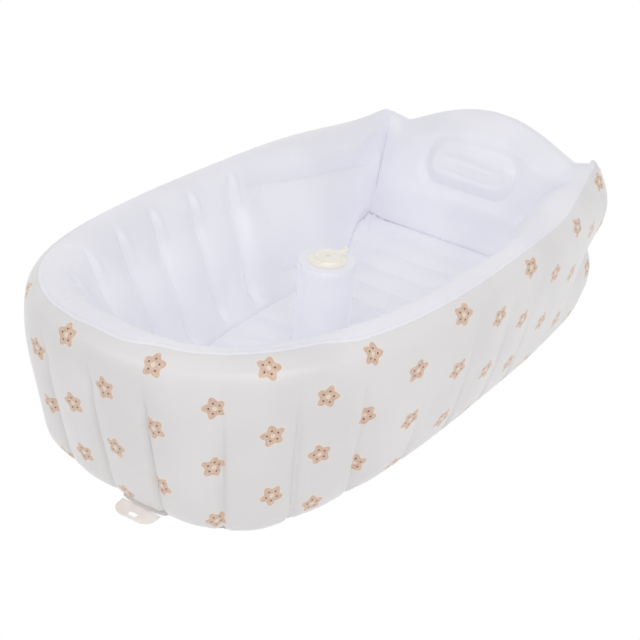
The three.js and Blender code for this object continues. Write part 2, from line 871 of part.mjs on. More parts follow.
const backrestFace = new THREE.Group();
backrestFace.position.set(
  backPlane(pillowCentreHeight) - (backrestCrown + gap) / Math.cos(Math.atan(backrestLean)),
  0,
  pillowCentreHeight,
);
const slopeTurn = new THREE.Matrix4().makeBasis(
  new THREE.Vector3(0, -1, 0),
  new THREE.Vector3(backrestLean, 0, 1).normalize(),
  new THREE.Vector3(-1, 0, backrestLean).normalize(),
);
backrestFace.setRotationFromMatrix(slopeTurn);
addMesh('head_pillow', sleeveGeometry(pillowRings()), innerSkin, backrestFace);

const weldShape = roundedOutline(
  pillowWidth + 2 * (weldWidth + gap),
  pillowLength + 2 * (weldWidth + gap),
  pillowCorner + weldWidth,
);
weldShape.holes.push(roundedOutline(pillowWidth + 2 * gap, pillowLength + 2 * gap, pillowCorner));
addMesh('pillow_weld', plateGeometry(weldShape, weldThickness, 8), innerSkin, backrestFace);
tub.add(backrestFace);

// Flange along the crease between the floor and the backrest
const creaseFlange = new THREE.BoxGeometry(weldThickness, creaseFlangeHalf * 2, creaseFlangeWidth);
creaseFlange.translate(0, 0, creaseFlangeWidth / 2);
const flangeMesh = addMesh('crease_flange', creaseFlange, innerSkin);
flangeMesh.position.set(
  backPlane(floorHeadHeight) - weldThickness - 2 * gap,
  0,
  floorHeadHeight + gap,
);
flangeMesh.rotation.y = Math.atan(backrestLean);

// Seat post: an air column with a welded disc on top and a flange at the floor

function postProfile() {
  const waist = postRadius - postWaist;
  return [
    [0, postSeatDepth + gap],
    [postRadius, postSeatDepth + gap],
    [postRadius, floorHeight],
    [waist, floorHeight + postFlangeWidth],
    [waist, postTop - postFlangeWidth],
    [postRadius - postWaist / 2, postTop - postFlangeWidth / 3],
    [postRadius - postWaist * 2, postTop],
    [0, postTop],
  ].map(([radius, height]) => new THREE.Vector2(radius, height));
}

function latheUp(profile) {
  const geometry = new THREE.LatheGeometry(profile, roundSegments);
  geometry.rotateX(Math.PI / 2);
  return geometry;
}

addMesh('seat_post', latheUp(postProfile()), innerSkin).position.set(postX, 0, 0);

const postDisc = cylinder(postRadius - postWaist * 2, 0, weldThickness);
addMesh('post_top_disc', postDisc, innerSkin).position.set(postX, 0, postTop + gap);

const flangeProfile = [
  [postRadius + gap, 0],
  [postRadius + postFlangeWidth, 0],
  [postRadius + postFlangeWidth, weldThickness],
  [postRadius + gap, weldThickness],
  [postRadius + gap, 0],
].map(([radius, height]) => new THREE.Vector2(radius, height));
addMesh('post_base_flange', latheUp(flangeProfile), floorSkin).position.set(postX, 0, floorHeight + gap);

// Drain: a lipped tube through the floor, with a plug on a tether

const drainTop = floorHeight - ribRise - overrun + gap + drainLipThickness;
const tubeProfile = [
  [drainBore, 0],
  [drainRadius, 0],
  [drainRadius, drainTop - drainLipThickness],
  [drainLipRadius, drainTop - drainLipThickness],
  [drainLipRadius, drainTop],
  [drainBore, drainTop],
  [drainBore, 0],
].map(([radius, height]) => new THREE.Vector2(radius, height));
addMesh('drain_tube', latheUp(tubeProfile), valveVinyl).position.set(drainX, drainY, 0);

function drainPlug() {
  const head = cylinder(plugHeadRadius, gap, gap + plugHeadThickness);
  const shankRadius = drainBore - plugClearance;
  const shank = cylinder(shankRadius - plugClearance, gap - plugDepth, gap + overrun, shankRadius);
  const grip = new THREE.BoxGeometry(plugGripWidth, plugHeadRadius, plugGripHeight);
  grip.translate(0, 0, plugHeadThickness + plugGripHeight / 2);
  return toGeometry(toSolid(head).add(toSolid(shank)).add(toSolid(grip)));
}

addMesh('drain_plug', drainPlug(), valveVinyl).position.set(drainX, drainY, drainTop);

function drainTether() {
  const outline = new THREE.Shape();
  const start = plugHeadRadius + gap;
  const end = drainLipRadius + gap + tetherThickness;
  outline.moveTo(start, gap + tetherThickness);
  outline.lineTo(end + tetherThickness, gap + tetherThickness);
  outline.lineTo(end + tetherThickness, gap - drainLipThickness);
  outline.lineTo(end, gap - drainLipThickness);
  outline.lineTo(end, gap);
  outline.lineTo(start, gap);
  outline.closePath();
  const geometry = plateGeometry(outline, tetherWidth, 1);
  geometry.translate(0, 0, -tetherWidth / 2);
  geometry.rotateX(Math.PI / 2);
  return geometry;
}

addMesh('drain_tether', drainTether(), valveVinyl).position.set(drainX, drainY, drainTop);

// Hanging tab, welded to the base's edge at the foot end

const tabCornerShare = 0.36;
const tabSlotShare = 0.66;
const tabEdgeShare = 0.7;

function tabShape() {
  const corner = tabWidth * tabCornerShare;
  const shape = new THREE.Shape();
  shape.moveTo(0, -tabWidth / 2);
  shape.lineTo(tabReach - corner, -tabWidth / 2);
  shape.quadraticCurveTo(tabReach, -tabWidth / 2, tabReach, corner - tabWidth / 2);
  shape.lineTo(tabReach, tabWidth / 2 - corner);
  shape.quadraticCurveTo(tabReach, tabWidth / 2, tabReach - corner, tabWidth / 2);
  shape.lineTo(0, tabWidth / 2);
  shape.closePath();
  const slot = new THREE.Path();
  const middle = tabReach * tabSlotShare;
  const half = (tabSlotLength - tabSlotWidth) / 2;
  slot.absarc(middle, half, tabSlotWidth / 2, 0, Math.PI, false);
  slot.absarc(middle, -half, tabSlotWidth / 2, Math.PI, Math.PI * 2, false);
  slot.closePath();
  shape.holes.push(slot);
  return shape;
}

// The tab stands square to the base's edge, just clear of it
const edgePoints = baseOutline()
  .filter((point) => point.x < 0 && Math.abs(point.y - tabSide) < tabWidth * tabEdgeShare)
  .sort((a, b) => a.y - b.y);
const edgeAlong = edgePoints.at(-1).clone().sub(edgePoints[0]).normalize();
const edgeNormal = new THREE.Vector2(-edgeAlong.y, edgeAlong.x);
if (edgeNormal.x > 0) {
  edgeNormal.negate();
}
const edgeReach = Math.max(...edgePoints.map((point) => point.dot(edgeNormal))) + sheetThickness;
const tabMesh = addMesh('hanging_tab', plateGeometry(tabShape(), tabThickness, 6), clearVinyl);
tabMesh.position.set((edgeReach - tabSide * edgeNormal.y) / edgeNormal.x, tabSide, 0);
tabMesh.rotation.z = Math.atan2(edgeNormal.y, edgeNormal.x);

export default tub;
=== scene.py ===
# Inflatable baby bathtub: the looks of the tub, piece by piece, with its light and camera.
# Shapes are worked out in millimetres and turned to metres when a mesh is made.
import math

import bpy
import numpy as np
from mathutils import Matrix, Vector


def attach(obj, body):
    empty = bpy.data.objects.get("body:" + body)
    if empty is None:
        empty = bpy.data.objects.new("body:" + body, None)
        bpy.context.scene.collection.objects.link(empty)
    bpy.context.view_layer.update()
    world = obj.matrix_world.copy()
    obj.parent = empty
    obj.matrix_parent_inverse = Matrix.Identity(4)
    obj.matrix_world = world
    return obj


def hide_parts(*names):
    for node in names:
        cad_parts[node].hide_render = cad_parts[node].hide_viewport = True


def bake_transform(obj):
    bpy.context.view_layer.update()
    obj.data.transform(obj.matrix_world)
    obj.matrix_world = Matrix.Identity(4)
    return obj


perMetre = 1000

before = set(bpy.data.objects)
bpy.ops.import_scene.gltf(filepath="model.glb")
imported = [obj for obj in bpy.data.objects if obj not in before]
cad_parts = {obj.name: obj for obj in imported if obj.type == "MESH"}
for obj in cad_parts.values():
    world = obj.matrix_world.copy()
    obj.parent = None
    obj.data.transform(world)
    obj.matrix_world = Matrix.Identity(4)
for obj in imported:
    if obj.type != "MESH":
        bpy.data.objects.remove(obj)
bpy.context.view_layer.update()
print("frame loaded with", len(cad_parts), "nodes")


def ease(value, start, end):
    # smoothstep: 3t^2 - 2t^3 with t running from 0 at start to 1 at end
    t = np.clip((value - start) / (end - start), 0, 1)
    return t * t * (3 - 2 * t)


def mix(a, b, share):
    return a + (b - a) * share


def bell(value, width):
    # exp(-(value / width)^2)
    return np.exp(-(value / width) ** 2)


def between(value, start, full, leave, end):
    # 0 up to start, 1 from full to leave, 0 from end on
    return ease(value, start, full) * (1 - ease(value, leave, end))


def hump(value, height, place, width):
    return height * bell(value - place, width)


def tabled(value, rows):
    # read off a table of (place, amount)
    places, amounts = zip(*rows)
    return np.interp(value, places, amounts)


def unit(vectors):
    return vectors / np.maximum(np.linalg.norm(vectors, axis=-1, keepdims=True), 1e-9)


def turn(count):
    # even angles of a whole turn
    return np.linspace(0, 2 * math.pi, count, endpoint=False)


def shift(place):
    return Matrix.Translation(Vector(place) / perMetre)


def ripple(*fields):
    # a sum of slow sine waves that never quite repeat, between -1 and 1
    total = 0
    for k, field in enumerate(fields):
        total = total + np.sin(field * (1 + 0.37 * k) + 1.7 * k)
    return total / len(fields)


def splineWeights(lengths, samples):
    # closed cubic spline with a smooth second derivative: row i holds how much each knot counts at sample i
    count = len(lengths)
    knots = np.concatenate([[0], np.cumsum(lengths)])
    step = np.array(lengths, float)
    last = np.roll(step, 1)
    here = np.eye(count)
    after = np.roll(here, 1, axis=1)
    before = np.roll(here, -1, axis=1)
    left = last[:, None] * before + 2 * (last + step)[:, None] * here + step[:, None] * after
    right = 6 * ((after - here) / step[:, None] - (here - before) / last[:, None])
    bend = np.linalg.solve(left, right)
    k = np.clip(np.floor(samples).astype(int), 0, count - 1)
    b = (samples - k)[:, None]
    a = 1 - b
    h = (knots[k + 1] - knots[k])[:, None]
    n = (k + 1) % count
    return a * here[k] + b * here[n] + ((a**3 - a) * bend[k] + (b**3 - b) * bend[n]) * h * h / 6


def signedVolume(points, faces):
    # the sum of a . (b x c) over the triangles of each face, above 0 where the faces point outwards
    total = 0
    for k in range(1, faces.shape[1] - 1):
        a, b, c = (points[faces[:, n]] for n in (0, k, k + 1))
        total += (a * np.cross(b, c)).sum()
    return total


def addObject(name, data):
    made = bpy.data.objects.new(name, data)
    bpy.context.scene.collection.objects.link(made)
    return made


def skin(name, grid, loopU=False, loopV=True, uv=None, slots=None):
    # grid[i, j] is a point; squares join neighbours and loops close on themselves
    nu, nv = grid.shape[:2]
    points = grid.reshape(-1, 3).astype(float)
    alongU = np.arange(nu if loopU else nu - 1)
    alongV = np.arange(nv if loopV else nv - 1)
    i, j = (places.ravel() for places in np.meshgrid(alongU, alongV, indexing="ij"))
    square = [(i, j), (i + 1, j), (i + 1, j + 1), (i, j + 1)]
    quads = np.stack([u % nu * nv + v % nv for u, v in square], 1)
    corners = np.stack([np.stack(corner, 1) for corner in square], 1)
    fans = np.zeros((0, 3), int)
    if loopV and not loopU:
        # each open end gets a fan to its middle
        ring = np.arange(nv)
        follow = (ring + 1) % nv
        points = np.vstack([points, grid[0].mean(0), grid[-1].mean(0)])
        first = np.stack([np.full(nv, nu * nv), ring, follow], 1)
        final = np.stack([np.full(nv, nu * nv + 1), (nu - 1) * nv + follow, (nu - 1) * nv + ring], 1)
        fans = np.vstack([first, final])
    middle = points.mean(0)
    if signedVolume(points - middle, quads) + signedVolume(points - middle, fans) < 0:
        quads, corners, fans = quads[:, ::-1], corners[:, ::-1], fans[:, ::-1]
    mesh = bpy.data.meshes.new(name)
    mesh.vertices.add(len(points))
    mesh.vertices.foreach_set("co", (points / perMetre).astype(np.float32).ravel())
    flat = np.concatenate([quads.ravel(), fans.ravel()]).astype(np.int32)
    mesh.loops.add(len(flat))
    mesh.loops.foreach_set("vertex_index", flat)
    totals = np.concatenate([np.full(len(quads), 4), np.full(len(fans), 3)]).astype(np.int32)
    mesh.polygons.add(len(totals))
    starts = np.concatenate([[0], np.cumsum(totals)[:-1]])
    mesh.polygons.foreach_set("loop_start", starts.astype(np.int32))
    mesh.polygons.foreach_set("loop_total", totals)
    mesh.polygons.foreach_set("use_smooth", np.ones(len(totals), bool))
    if uv is not None:
        layer = mesh.uv_layers.new(name="skinMap")
        values = np.zeros((len(flat), 2), np.float32)
        values[: len(quads) * 4] = uv[corners[:, :, 0], corners[:, :, 1]].reshape(-1, 2)
        layer.data.foreach_set("uv", values.ravel())
    if slots is not None:
        chosen = np.concatenate([slots[i % nu, j % nv], np.zeros(len(fans), int)])
        mesh.polygons.foreach_set("material_index", chosen.astype(np.int32))
    mesh.update()
    mesh.validate()
    return addObject(name, mesh)


def dress(piece, body, finishes, slot, *nodes):
    # finish, body and the CAD nodes that the piece stands for; the slot is not used
    for finish in finishes if isinstance(finishes, list) else [finishes]:
        piece.data.materials.append(finish)
    if body:
        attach(piece, body)
    if nodes:
        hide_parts(*nodes)
    return piece


def normalsOf(grid):
    # unit normals of a grid that loops both ways: the cross product of its two directions
    alongU, alongV = (np.roll(grid, -1, axis) - np.roll(grid, 1, axis) for axis in (0, 1))
    return unit(np.cross(alongU, alongV))


class Wire:
    # a number in a shader; + - * / and ** on it add the Math nodes
    def __init__(self, finish, socket):
        self.finish, self.socket = finish, socket

    def math(self, operation, *values):
        return self.finish.node("Math", {"operation": operation}, dict(enumerate(values)))

    def __add__(self, other):
        return self.math("ADD", self, other)

    def __sub__(self, other):
        return self.math("SUBTRACT", self, other)

    def __mul__(self, other):
        return self.math("MULTIPLY", self, other)

    def __truediv__(self, other):
        return self.math("DIVIDE", self, other)

    def __pow__(self, other):
        return self.math("POWER", self, other)

    def __rsub__(self, other):
        return self.math("SUBTRACT", other, self)

    def __rtruediv__(self, other):
        return self.math("DIVIDE", other, self)

    __radd__ = __add__
    __rmul__ = __mul__

    def fade(self, start, end):
        # 0 at start, 1 at end
        settings = {"interpolation_type": "SMOOTHSTEP"}
        return self.finish.node("MapRange", settings, {"Value": self, "From Min": start, "From Max": end})


class Finish:
    def __init__(self, name):
        self.material = bpy.data.materials.new(name)
        self.material.use_nodes = True
        self.tree = self.material.node_tree
        self.shader = self.tree.nodes["Principled BSDF"]

    def put(self, socket, value):
        if isinstance(value, Wire):
            self.tree.links.new(value.socket, socket)
        elif isinstance(value, tuple) and len(value) == 3 and socket.type == "RGBA":
            socket.default_value = (*value, 1)
        else:
            socket.default_value = value

    def node(self, kind, settings, values, output=0):
        made = self.tree.nodes.new("ShaderNode" + kind)
        for key, setting in settings.items():
            setattr(made, key, setting)
        for key, value in values.items():
            self.put(made.inputs[key], value)
        return Wire(self, made.outputs[output])

    def color(self, share, low, high):
        return self.node("Mix", {"data_type": "RGBA"}, {0: share, 6: low, 7: high}, 2)

    def place(self):
        return self.node("TexCoord", {}, {}, "Object")

    def noise(self, where, scale, detail=3, roughness=0.5):
        values = {"Vector": where, "Scale": scale, "Detail": detail, "Roughness": roughness}
        return self.node("TexNoise", {}, values)

    def bump(self, height, distance, strength=1.0, under=None):
        values = {"Height": height, "Distance": distance, "Strength": strength}
        if under is not None:
            values["Normal"] = under
        return self.node("Bump", {}, values)

    def set(self, **values):
        for key, value in values.items():
            self.put(self.shader.inputs[key.replace("_", " ")], value)
        return self.material


def rgb(code):
    # linear colour of a hex code
    parts = [int(code[k : k + 2], 16) / 255 for k in (0, 2, 4)]
    return tuple(p / 12.92 if p <= 0.04045 else ((p + 0.055) / 1.055) ** 2.4 for p in parts)


film = {
    "outer": "e9e7e7",
    "outerShade": "e3e1e1",
    "inner": "eeeef4",
    "innerShade": "e8e8ef",
    "floor": "eeeef4",
    "floorShade": "e8e8f0",
    "roughness": 0.36,
    "coat": 0.25,
    "coatRoughness": 0.18,
    # scale of the soft patches of colour, of the wrinkles and of the grain, and the heights of the last two
    "patches": 7,
    "wrinkles": 26,
    "wrinkleHeight": 0.0018,
    "grain": 700,
    "grainHeight": 0.00004,
    # painted light: an emission glow in the film's own colour, with these strengths, stands in for light that
    # comes through the film from the other side and lifts the shaded insides
    "glow": {"outer": 0.09, "inner": 0.135, "floor": 0.14, "post": 0.17},
}

motif = {
    "columns": 34,
    "rowPitch": 0.084,
    # how much slower the map runs along the sides, so that the flowers there stand further apart, and where
    "slower": (0.24, 280, 420, 1040, 1200),
    "mapStart": 2.0,
    "petals": 5,
    "petalRadius": 0.0152,
    "petalDepth": 0.0024,
    "edgeBlur": 0.00025,
    "edgeGrain": 0.0007,
    "halo": 0.0016,
    "haloBlur": 0.0006,
    "haloShare": 0.85,
    "stray": 0.007,
    "dotRing": 0.0072,
    "dotRadius": 0.0012,
    "heartRadius": 0.003,
    "blur": 0.0003,
    "petal": "e0c5b2",
    "petalDeep": "d3b29b",
    "haloColor": "eee5dd",
    "dot": "5d4038",
    "heart": "ecdccb",
}


def filmSurface(finish, low, high):
    # film colour in soft patches, and the bump of faint tension wrinkles over a very fine grain
    where = finish.place()
    patches = finish.noise(where, film["patches"], 2)
    tint = finish.color(patches.fade(0.35, 0.65), rgb(low), rgb(high))
    wave = finish.noise(where, film["wrinkles"], 3, 0.55)
    grain = finish.noise(where, film["grain"], 2)
    soft = finish.bump(wave, film["wrinkleHeight"], 0.5)
    bumps = finish.bump(grain, film["grainHeight"], 0.5, soft)
    rough = film["roughness"] + 0.1 * (patches - 0.5)
    return tint, bumps, rough


def setFilm(finish, paint, bumps, rough, glow):
    finish.set(Base_Color=paint, Normal=bumps, Roughness=rough)
    # the film glows in its own colour: painted light standing in for light that comes through the film
    finish.set(Emission_Color=paint, Emission_Strength=glow)
    return finish.set(Coat_Weight=film["coat"], Coat_Roughness=film["coatRoughness"])


def plainFilm(name, kind, glow):
    # kind says which colours of the film, glow which of its strengths of painted light from behind, an
    # emission
    finish = Finish(name)
    tint, bumps, rough = filmSurface(finish, film[kind + "Shade"], film[kind])
    return setFilm(finish, tint, bumps, rough, film["glow"][glow])


def printedFilm(loopLength):
    # five-petalled flowers in half-drop rows, each turned and shifted by its own cell's random numbers
    finish = Finish("printedFilm")
    tint, bumps, rough = filmSurface(finish, film["outerShade"], film["outer"])
    uv = finish.node("UVMap", {"uv_map": "skinMap"}, {})
    u = finish.node("SeparateXYZ", {}, {0: uv}, 0)
    v = finish.node("SeparateXYZ", {}, {0: uv}, 1)
    pitch = loopLength / motif["columns"]
    across = u / pitch
    column = across.math("FLOOR", across)
    up = v / motif["rowPitch"] + 0.5 * column.math("MODULO", column, 2)
    row = up.math("FLOOR", up)
    wrapped = column.math("MODULO", column, motif["columns"])
    cell = finish.node("CombineXYZ", {}, {0: wrapped, 1: row, 2: 3})
    chance = finish.node("TexWhiteNoise", {"noise_dimensions": "3D"}, {"Vector": cell}, 1)
    randomA, randomB, randomC = (finish.node("SeparateColor", {}, {0: chance}, k) for k in range(3))
    x = (across - column - 0.5) * pitch + (randomA - 0.5) * motif["stray"]
    y = (up - row - 0.5) * motif["rowPitch"] + (randomB - 0.5) * motif["stray"]
    radius = (x * x + y * y) ** 0.5
    angle = y.math("ARCTAN2", y, x) + randomC * (2 * math.pi)
    wave = angle.math("COSINE", angle * motif["petals"])
    edge = motif["petalRadius"] - motif["petalDepth"] + motif["petalDepth"] * wave
    grainy = (finish.noise(finish.place(), 900, 1) - 0.5) * motif["edgeGrain"]
    petal = (edge - radius + grainy).fade(-motif["edgeBlur"], motif["edgeBlur"])
    halo = (edge + motif["halo"] - radius).fade(-motif["haloBlur"], motif["haloBlur"])
    # one dot near the outer end of each petal
    fifth = 2 * math.pi / motif["petals"]
    fifths = angle / fifth + 0.5
    local = (fifths - fifths.math("FLOOR", fifths) - 0.5) * fifth
    dx = radius * local.math("COSINE", local) - motif["dotRing"]
    dy = radius * local.math("SINE", local)
    fromDot = (dx * dx + dy * dy) ** 0.5
    dot = fromDot.fade(motif["dotRadius"] + motif["blur"], motif["dotRadius"] - motif["blur"])
    heart = radius.fade(motif["heartRadius"] + motif["blur"], motif["heartRadius"] - motif["blur"])
    cloud = finish.noise(finish.place(), 260, 2).fade(0.3, 0.7)
    deep = finish.color(cloud, rgb(motif["petal"]), rgb(motif["petalDeep"]))
    paint = finish.color(halo * motif["haloShare"], tint, rgb(motif["haloColor"]))
    paint = finish.color(petal, paint, deep)
    paint = finish.color(heart, paint, rgb(motif["heart"]))
    paint = finish.color(dot, paint, rgb(motif["dot"]))
    return setFilm(finish, paint, bumps, rough, film["glow"]["outer"])


camera = {
    "place": (-1060.5, -696.4, 783.6),
    "azimuth": -57.17,
    "elevation": 28.82,
    "roll": 5.26,
    "focalPixels": 925.74,
    "offsetPixels": (23.24, -13.43),
    "picturePixels": 640,
    "sensor": 36,
    "clip": (0.01, 50),
}


def addCamera():
    a, e, r = (math.radians(camera[k]) for k in ("azimuth", "elevation", "roll"))
    right = Vector((math.cos(a), math.sin(a), 0))
    back = Vector((math.sin(a) * math.cos(e), -math.cos(a) * math.cos(e), math.sin(e)))
    up = back.cross(right)
    turnedRight = right * math.cos(r) + up * math.sin(r)
    turnedUp = up * math.cos(r) - right * math.sin(r)
    data = bpy.data.cameras.new("camera")
    data.sensor_width = camera["sensor"]
    data.lens = camera["focalPixels"] / camera["picturePixels"] * data.sensor_width
    data.shift_x = -camera["offsetPixels"][0] / camera["picturePixels"]
    data.shift_y = camera["offsetPixels"][1] / camera["picturePixels"]
    data.clip_start, data.clip_end = camera["clip"]
    lens = addObject("camera", data)
    lens.matrix_world = shift(camera["place"]) @ Matrix((turnedRight, turnedUp, back)).transposed().to_4x4()
    bpy.context.scene.camera = lens


studio = {
    "worldStrength": 0.5,
    "aim": (0, 0, 0.1),
    "floorSize": 14.0,
    "floorGap": 0.0005,
    "floorColor": "f4f4f4",
    "lamps": [
        # name, place in metres, size, power in watts
        ("topSoftbox", (-0.2, 0.1, 2.4), 1.8, 5),
        ("leftSoftbox", (-2.4, 0.9, 1.5), 1.5, 6),
        ("rightSoftbox", (-1.0, -2.5, 1.5), 1.5, 10.5),
        ("frontSoftbox", (-1.9, -1.4, 1.9), 1.8, 8.5),
    ],
}


def seenRays(tree):
    # 1 where it is seen, straight, mirrored or through film, and 0 as a source of light
    path = tree.nodes.new("ShaderNodeLightPath")
    seen = path.outputs["Is Camera Ray"]
    for ray in ("Is Glossy Ray", "Is Transmission Ray"):
        either = tree.nodes.new("ShaderNodeMath")
        either.operation = "MAXIMUM"
        tree.links.new(seen, either.inputs[0])
        tree.links.new(path.outputs[ray], either.inputs[1])
        seen = either.outputs[0]
    return seen


def addStudio():
    bpy.context.scene.view_settings.view_transform = "Standard"
    world = bpy.data.worlds.new("studio")
    bpy.context.scene.world = world
    world.use_nodes = True
    nodes, links = world.node_tree.nodes, world.node_tree.links
    strength = nodes.new("ShaderNodeMapRange")
    strength.inputs["To Min"].default_value = studio["worldStrength"]
    strength.inputs["To Max"].default_value = 1.0
    links.new(seenRays(world.node_tree), strength.inputs["Value"])
    nodes["Background"].inputs["Color"].default_value = (1, 1, 1, 1)
    links.new(strength.outputs[0], nodes["Background"].inputs["Strength"])
    for name, place, size, power in studio["lamps"]:
        lamp = bpy.data.lights.new(name, "AREA")
        lamp.size, lamp.energy = size, power
        holder = addObject(name, lamp)
        holder.location = place
        holder.rotation_mode = "QUATERNION"
        holder.rotation_quaternion = (Vector(studio["aim"]) - Vector(place)).to_track_quat("-Z", "Y")
    half = studio["floorSize"] / 2
    floorMesh = bpy.data.meshes.new("studioFloor")
    corners = [(-half, -half, 0), (half, -half, 0), (half, half, 0), (-half, half, 0)]
    floorMesh.from_pydata(corners, [], [(0, 1, 2, 3)])
    floorPiece = addObject("studioFloor", floorMesh)
    floorPiece.location.z = -studio["floorGap"]
    finish = Finish("studioFloor")
    seen = Wire(finish, seenRays(finish.tree))
    glow = finish.color(seen, (0.0, 0.0, 0.0), (1.0, 1.0, 1.0))
    body = finish.color(seen, rgb(studio["floorColor"]), (0.0, 0.0, 0.0))
    finish.set(Base_Color=body, Roughness=1.0, Specular_IOR_Level=0.0)
    finish.set(Emission_Color=glow, Emission_Strength=1.0)
    floorMesh.materials.append(finish.material)


addCamera()
addStudio()
print("camera and studio")


# Distances are measured along the rim's middle line from the foot's middle.
# A hump is given by its height, place and width, a fade by start, end and the share that it takes away.
wall = {
    # the plan: x of the head end and of the widest place, half width, and the film's bulge past the line
    "headX": 490.0,
    "halfWidth": 284.0,
    "bulge": 35.0,
    "widestX": 104.0,
    "footPower": 2.87,
    "earX": 434.0,
    "earHalfWidth": 212.0,
    "cornerStartX": 404.0,
    "headFlat": 150.0,
    "cornerPower": 2.4,
    # the rim's height along the sides and behind the head, and how it rises to the two ears
    "rimHeight": 246.0,
    "earRise": {"far": 13.0, "near": 25.0},
    "earReach": 170.0,
    "earPower": 2.5,
    "sideRise": (6.0, 760.0, 190.0),
    "headBackHeight": 214.0,
    # towards the foot end the rim leans to the far side: how far, and from which -x to which
    "rimLean": 8.0,
    "rimLeanX": (180, 420),
    # how far in the floor's edge lies from the middle line, at the foot and along the head half
    "footDepth": 113.0,
    "headDepth": 27.0,
    "depthX": (190, 394),
    "blendStartX": 180.0,
    "pinchStartX": 271.0,
    # the crease between the floor and the backrest, the floor's height and the backrest's slope
    "creaseX": 381.0,
    "floorHeight": 38.0,
    "floorHeadHeight": 66.0,
    "floorRiseX": 120.0,
    "backLean": 0.277,
    "backThickness": 47.0,
    "bottom": 0.8,
    "planPoints": (400, 200),
    "tangentStep": 4,
    # the knot half way up the outside, which says which way is out
    "outsideKnot": 3.5,
    # spacing of the stations between the welds and at them, and how far a weld's close ones reach
    "spacing": (6.5, 1.7),
    "closeReach": 11,
    # distances of the welds
    "outerWelds": [0, 73, 147, 225, 309, 408, 501, 596, 672, 740, 802],
    "innerWelds": [62, 143, 224, 310, 392, 482, 583],
    # how deep the film lies at the welds between the flutes, how sharply, and where the outer flutes fade
    "lobeDepth": 10.0,
    "innerLobeDepth": 12.0,
    "lobePowers": (0.6, 0.8),
    "lobeFades": [(312, 430, 0.7), (620, 720, 0.85), (860, 930, 1)],
    # how far to both sides the two tables below are blurred
    "bandBlur": 22,
    "baseBlur": 24,
    # how far in the rim's flat band reaches
    "band": [
        (0, 32.8), (540, 32.8), (600, 28), (650, 29), (715, 34), (775, 46), (850, 48),
        (905, 51), (950, 39), (975, 28), (1000, 20), (1027, 9), (1250, 9),
    ],
    # where the rim is fuller on its inner side, and the far side's share of that
    "wide": (650, 770, 990, 1030),
    "wideFarShare": 0.35,
    # how far the foot of the wall stands out or in
    "baseLine": [
        (0, -8), (80, -9), (125, -2), (160, 5), (190, 7), (227, 0), (271, -5), (352, -10),
        (450, -13), (600, -13), (700, -10), (844, -3), (960, 8), (1020, 4), (1080, 0),
    ],
    "footSwell": (3.0, 125, 75),
    # the wall's foot is drawn in over the tab, so that the tab can bend up
    "tabTuck": (3.0, -38, 40),
}

# Knots of the section outside: shares of the bulge and of the rim's height
outerSide = [[(-0.05, 0), (0.46, 0.06), (0.8, 0.24), (0.93, 0.49), (1, 0.83), (0.78, 0.955), (0.32, 0.994)]]
outerEar = [[(-0.05, 0), (0.44, 0.07), (0.86, 0.28), (0.68, 0.48), (1.02, 0.66), (0.85, 0.86), (0.2, 0.995)]]
outerBack = [[(-0.05, 0), (0.58, 0.07), (0.9, 0.26), (0.58, 0.52), (1, 0.8), (0.9, 0.94), (0.7, 1)]]
lobeShares = [0.4, 0.6, 1, 1, 0.35, 0, 0]
baseShares = [1, 1, 0.6, 0.1, 0, 0, 0]
swellShares = [0, 1, 1, 1, 1, 0, 0]
tuckShares = [0, 0.7, 1, 0.2, 0, 0, 0]
# Knots inside: shares of the band's width, of the way from there to the floor's edge and of the rim's height,
# and what the height gains where the rim is fuller
innerSide = [
    (0.48, 0, 0.993), (1, 0, 0.925), (1, 0.25, 0.77), (1, 0.5, 0.59), (1, 0.68, 0.405), (1, 0.81, 0.275),
]
innerEar = [
    (0.48, 0, 0.99), (1, 0, 0.92), (1, 0.2, 0.77), (1, 0.4, 0.6), (1, 0.55, 0.45), (1, 0.75, 0.34),
]
innerWide = [0.017, 0.03, 0.03, 0.02, 0, 0]
# How many points follow each knot
sectionSteps = [6, 11, 13, 17, 9, 7, 8, 9, 9, 11, 10, 9, 11, 3, 4]


def planLine():
    # half of the rim's middle line: a superellipse round the foot, a parabola along the side and a corner
    end, half = wall["headX"] - wall["bulge"], wall["halfWidth"] - wall["bulge"]
    widest, start, flat = wall["widestX"], wall["cornerStartX"], wall["headFlat"]
    curvePoints, sidePoints = wall["planPoints"]
    t = np.linspace(0, math.pi / 2, curvePoints)
    cos, sin = np.cos(t).clip(0), np.sin(t)
    power = 2 / wall["footPower"]
    foot = np.stack([widest - (widest + end) * cos**power, half * sin**power], 1)

    def sideWidth(x):
        return half - (half - wall["earHalfWidth"]) * ((x - widest) / (wall["earX"] - widest)) ** 2

    x = np.linspace(widest, start, sidePoints)[1:]
    side = np.stack([x, sideWidth(x)], 1)
    power = 2 / wall["cornerPower"]
    cornerX = start + (end - start) * sin[1:] ** power
    cornerY = flat + (sideWidth(start) - flat) * cos[1:] ** power
    return np.vstack([foot, side, np.stack([cornerX, cornerY], 1), [[end, 0]]])


plan = planLine()
planReach = np.concatenate([[0], np.cumsum(np.hypot(*np.diff(plan, axis=0).T))])
planLength = planReach[-1]


def planAt(distance):
    held = np.clip(distance, 0, planLength)
    return np.stack([np.interp(held, planReach, plan[:, 0]), np.interp(held, planReach, plan[:, 1])], -1)


earDistance = np.interp(wall["earX"], plan[:, 0], planReach)
headFlatDistance = planLength - wall["headFlat"]


def stationDistances():
    # stations close together at the welds and wider apart between them
    s = np.linspace(0, planLength, 6000)
    near = np.zeros_like(s)
    for weld in wall["outerWelds"] + wall["innerWelds"]:
        near = np.maximum(near, bell(s - weld, wall["closeReach"]))
    wide, close = wall["spacing"]
    density = np.cumsum(mix(1 / wide, 1 / close, near))
    count = int(density[-1] * (s[1] - s[0]))
    return np.interp(np.linspace(density[0], density[-1], count), density, s)


def floorTop(x):
    return mix(wall["floorHeight"], wall["floorHeadHeight"], ease(x, wall["floorRiseX"], wall["creaseX"]))


def backPlane(z):
    return wall["creaseX"] + wall["backLean"] * (z - wall["floorHeadHeight"])


